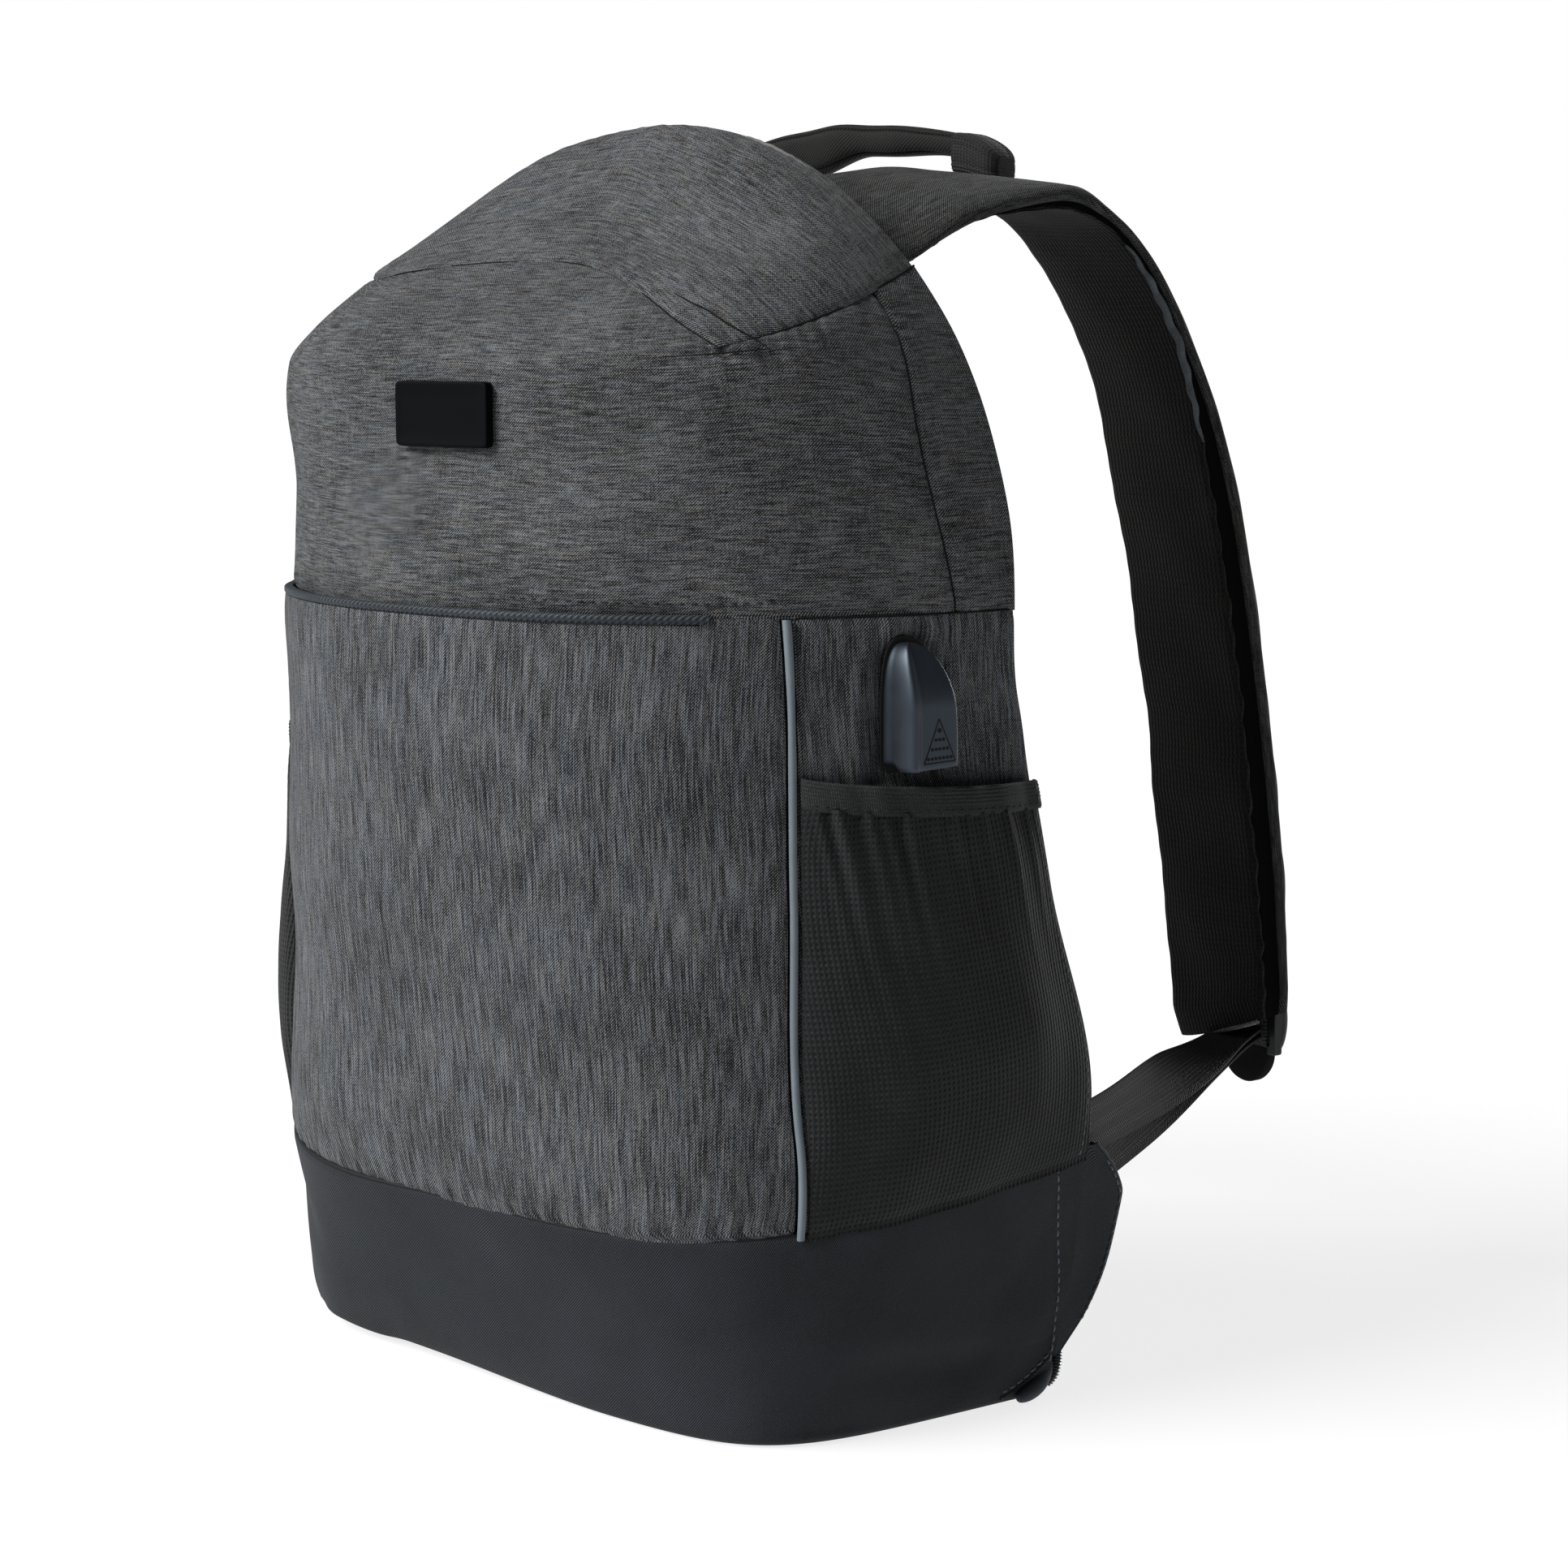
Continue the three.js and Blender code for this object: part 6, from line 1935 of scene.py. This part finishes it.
LEFT_FULLNESS = (-1.5, 24.0, 0.5, 1.35)
RIGHT_FULLNESS = (MOUTH_BULGE, MESH_BULGE, BELLY_ROUND, 2.0)
pocket_grids = []
for side, fullness in (("left", LEFT_FULLNESS), ("right", RIGHT_FULLNESS)):
    mesh_grid, mesh_plain = mesh_pocket(fullness)
    band_grid = mesh_binding(fullness)
    pocket_grids.append((side, mesh_grid, band_grid))
    name, rests_on = f"mesh_pocket_{side}", ["base", f"mesh_binding_{side}"]
    panel(name, mesh_grid, STRETCH_MESH, MESH_WALL)
    band = shell(band_grid, BAND_WALL)
    band = mirrored(band) if side == "left" else band
    piece(f"mesh_binding_{side}_look", band, ELASTIC, [f"mesh_binding_{side}"])

tub, tub_wall_row = base_tub()
tub_cloth, tub_inner = base_cloth(tub, tub_wall_row)
points, faces, flat = shell(tub_cloth, CLOTH, cloth_uv(tub))
points[tub.shape[0] * tub.shape[1]:] = tub_inner.reshape(-1, 3)
base_piece = piece("base_look", (points, faces, flat), BASE_TWILL, ["base"])

wing_grid, wing_plain = wing()
wings = both_sides("wing", shell(wing_grid, CLOTH, back_plane=False), BASE_TWILL)

pad = piece("back_panel_look", back_pad(shrink=1.0), BACK_MESH, ["back_panel"])
puffed(pad, pressure=4.0, cap=3.5)
piece("main_zip_look", main_zip(), ZIP_TAPE, ["main_zip"])
piece("zip_teeth", zip_teeth(), COIL)
both_sides("zip_end_teeth", zip_end_teeth(), COIL, False)
both_sides("zip_end_tape", zip_end_tape(), END_TAPE, False)
both_sides("base_hem", cord(hem_path(-0.3, 30), 0.9), BASE_TWILL, False)
piece("zip_slider_look", zip_slider(), PLASTIC, ["zip_slider"])

pad_rings, pad_uv = strap_pad()
for thing in both_sides("strap_pad", tube(pad_rings, pad_uv), AIR_MESH):
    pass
# The strap's edge wall in near black: its own colour with painted shade.
for thing in both_sides("strap_core", tube(*strap_core()), FOAM_EDGE_BLACK_AND_SHADE, False):
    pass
for thing in both_sides("strap_cover", tube(*strap_cover()), STRAP_HEATHER):
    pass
both_sides("strap_selvedge", strap_selvedge(pad_rings), PALE_CLOTH, False)
both_sides("strap_edging", strap_edging(pad_rings), EDGE_CLOTH, False)
for side in ("right", "left"):
    eased_copy(f"ladder_lock_{side}_look", f"ladder_lock_{side}", LOCK_PLASTIC, 1.6)
both_sides("lock_rails", lock_rails(), LOCK_PLASTIC, False)
both_sides("web_loop", web_loop(), WEBBING, False)
both_sides("lock_tab", lock_tab(), SHADE_CORDS_AND_TAB_BLACK, False)
both_sides("webbing", webbing(WEB_RUN), WEBBING)
# The tail is drawn in the darker webbing as painted shade.
both_sides("webbing_tail", webbing(WEB_TAIL), WEBBING_TAIL_SHADE)

grip = piece("handle_grip_look", handle_grip(), GRIP_TWILL, ["handle_grip"])
sleeve = handle_end()
piece("handle_end_right_look", sleeve, SLEEVE_WEB, ["handle_end_right"])
low_sleeve = (sleeve[0] - np.array([0, 0, LEFT_SAG]), sleeve[1], sleeve[2])
piece("handle_end_left_look", mirrored(low_sleeve), SLEEVE_WEB, ["handle_end_left"])

piece("usb_hood_look", usb_hood(), PLASTIC, ["usb_hood"], 60)
# Painted shade of the cloth opening round the hood: a dark ring.
piece("port_opening_shade", port_opening_shade(), DARK_SHADE_AND_VENT_MARKS)
piece("port_dots", port_dots(), DARK_SHADE_AND_VENT_MARKS)
piece("port_triangle", port_triangle(), DARK_SHADE_AND_VENT_MARKS)
piece("badge_look", badge_block(), RUBBER, ["badge"], 30)


# Painted shade: dark cords in the seams between panels, along the ledge and the dart, and along the base's
# top edge; and a pale cord along the arch
DART_ROUTE = [
    (71.1, -47.8, 388.8), (80.0, -49.8, 385.8), (87.5, -50.4, 383.3), (94.8, -51.0, 379.8),
    (99.7, -50.4, 377.3), (106.4, -48.5, 373.8), (111.1, -47.0, 370.3), (113.3, -47.7, 365.8),
]
ledge_y = np.linspace(-69.5, -46.5, 40)
ledge_z = lerp(368.3, 371.0, np.linspace(0, 1, 40))
ledge = body(turn_at_y(ledge_y, ledge_z), ledge_z)
ledge = ledge + unit(ledge * np.array([1, 1, 0])) * 0.35
taper = np.sin(PI * np.linspace(0.02, 0.98, 40)) ** 0.4
dart = through(DART_ROUTE, 39) + unit(np.array([0.45, -0.55, 0.7])) * 0.5
hood_line = upper[-1]
hood_fat = np.where(hood_line[:, 0] > 97, bell(hood_line[:, 1] + 53, 6.5), 0)
# Dark cords in the seam gaps, under the ledge and along the dart: painted shade where cloth is sewn, lapped
# or creased.
shade_cords_made = [cord(line, 0.4) for line in (upper[:, 0], upper[:, -1], strip[-1] * (-1, 1, 1), right_strip[-1])]
shade_cords_made += [cord(hood_line, 0.36 - 0.3 * hood_fat), cord(side_right[-1], 0.4)]
shade_cords_made += [cord(ledge, 0.24 * taper), cord(dart, 0.3 * taper)]
piece("painted_seam_gap_shade", joined(shade_cords_made), SHADE_CORDS_AND_TAB_BLACK)
arch_row = top[-3]
arch_at = (arch_row[:, 0] > 38) & (arch_row[:, 0] < 70)
arch_path = evenly(arch_row[arch_at], 40)
arch_fat = 0.75 * np.sin(PI * np.linspace(0.01, 0.99, 41)) ** 0.5
piece("arch_edge", cord(arch_path, arch_fat), PALE_CLOTH)
# A dark cord along the base's top edge paints the shadow where the pocket cloth is inset behind it.
rim_fat = lerp(1.25, 0.7, smoothstep(tub_cloth[-1, :, 0], -150, 60))
rim_path = tub_cloth[-1] - normals_of(tub_cloth)[-1] * 0.7 + np.array([0, 0, 0.5])
piece("base_rim_shade", cord(rim_path[2:-2], rim_fat[2:-2]), DARK_SHADE_AND_VENT_MARKS)

# Sewing threads that show
for side, mesh_grid, band_grid in pocket_grids:
    mesh_normal, band_normal = normals_of(mesh_grid), normals_of(band_grid)
    row = int(0.2 * band_grid.shape[0])
    column = np.searchsorted(run_along(mesh_grid, 1)[50], 4.0)
    edge_path = np.concatenate([mesh_grid[2:, column], band_grid[3:-3, column]])[::-1]
    edge_out = np.concatenate([mesh_normal[2:, column], band_normal[3:-3, column]])[::-1]
    band_made = stitches(band_grid[row, 3:-3], band_normal[row, 3:-3], pitch=3.4, length=2.3, radius=0.28)
    edge_made = stitches(edge_path, edge_out, pitch=3.8, length=2.2, radius=0.3)
    if side == "left":
        band_made, edge_made = mirrored(band_made), mirrored(edge_made)
    piece(f"band_stitches_{side}", band_made, DARK_THREAD)
    piece(f"pocket_stitches_{side}", edge_made, THREAD)

both_sides("wing_stitches", wing_threads(tub_cloth[tub_wall_row:]), THREAD, False)

upper_normal = normals_of(upper)
pucker_row = 5
lip_at = (upper[pucker_row, :, 0] > 30) & (upper[pucker_row, :, 0] < 116)
lip_path, lip_out = upper[pucker_row, lip_at], upper_normal[pucker_row, lip_at]
lip_made = stitches(lip_path, lip_out, pitch=4.2, length=2.4, radius=0.26)
piece("lip_stitches", lip_made, DARK_THREAD)


# Camera, light and floor

CAMERA_AT = (0.7325, -0.8149, 0.3770)
CAMERA_AIM = (0.0343, 0.0565, 0.2101)
CAMERA_LENS = 69.75
WORLD_DIM = 0.06
SUNS = [
    ("key", 6.4, 38, (0.5, 0.72, -0.68)),
    ("rim", 0.24, 60, (-0.68, -0.73, -0.08)),
    ("back", 2.3, 30, (0.08, -1, -0.2)),
]
FLOOR_HALF = 30.0
FLOOR_GREY = 0.18
FLOOR_GLOW = 0.79

camera_data = bpy.data.cameras.new("camera")
camera_data.lens = CAMERA_LENS
camera_data.sensor_width = 36.0
camera = placed("camera", camera_data)
camera.location = CAMERA_AT
camera.rotation_euler = (Vector(CAMERA_AIM) - Vector(CAMERA_AT)).to_track_quat("-Z", "Y").to_euler()
bpy.context.scene.camera = camera

world = bpy.data.worlds.new("studio")
world.use_nodes = True
bpy.context.scene.world = world
sky = world.node_tree
dim = node(sky, "ShaderNodeBackground", {"Color": (1, 1, 1, 1), "Strength": WORLD_DIM})
white = node(sky, "ShaderNodeBackground", {"Color": (1, 1, 1, 1), "Strength": 1.0})
seen = node(sky, "ShaderNodeLightPath", output="Is Camera Ray")
shown = node(sky, "ShaderNodeMixShader", {0: seen, 1: dim, 2: white})
sky.links.new(shown, sky.nodes["World Output"].inputs[0])

for name, energy, wide, direction in SUNS:
    sun_data = bpy.data.lights.new(name, "SUN")
    sun_data.energy = energy
    sun_data.angle = np.radians(wide)
    sun = placed(name, sun_data)
    sun.rotation_euler = Vector(direction).to_track_quat("-Z", "Y").to_euler()

floor_mesh = bpy.data.meshes.new("floor")
floor_corners = [(FLOOR_HALF * x, FLOOR_HALF * y, 0) for x, y in ((-1, -1), (1, -1), (1, 1), (-1, 1))]
floor_mesh.from_pydata(floor_corners, [], [(0, 1, 2, 3)])
floor = placed("floor", floor_mesh)
floor_finish, _, floor_shader = started("pale_floor", 0.9, 0.0)
floor_shader.inputs["Base Color"].default_value = (FLOOR_GREY, FLOOR_GREY, FLOOR_GREY, 1)
floor_shader.inputs["Emission Color"].default_value = (1, 1, 1, 1)
floor_shader.inputs["Emission Strength"].default_value = FLOOR_GLOW
floor_mesh.materials.append(floor_finish)

bpy.context.scene.view_settings.view_transform = "Standard"
bpy.context.scene.view_settings.look = "None"
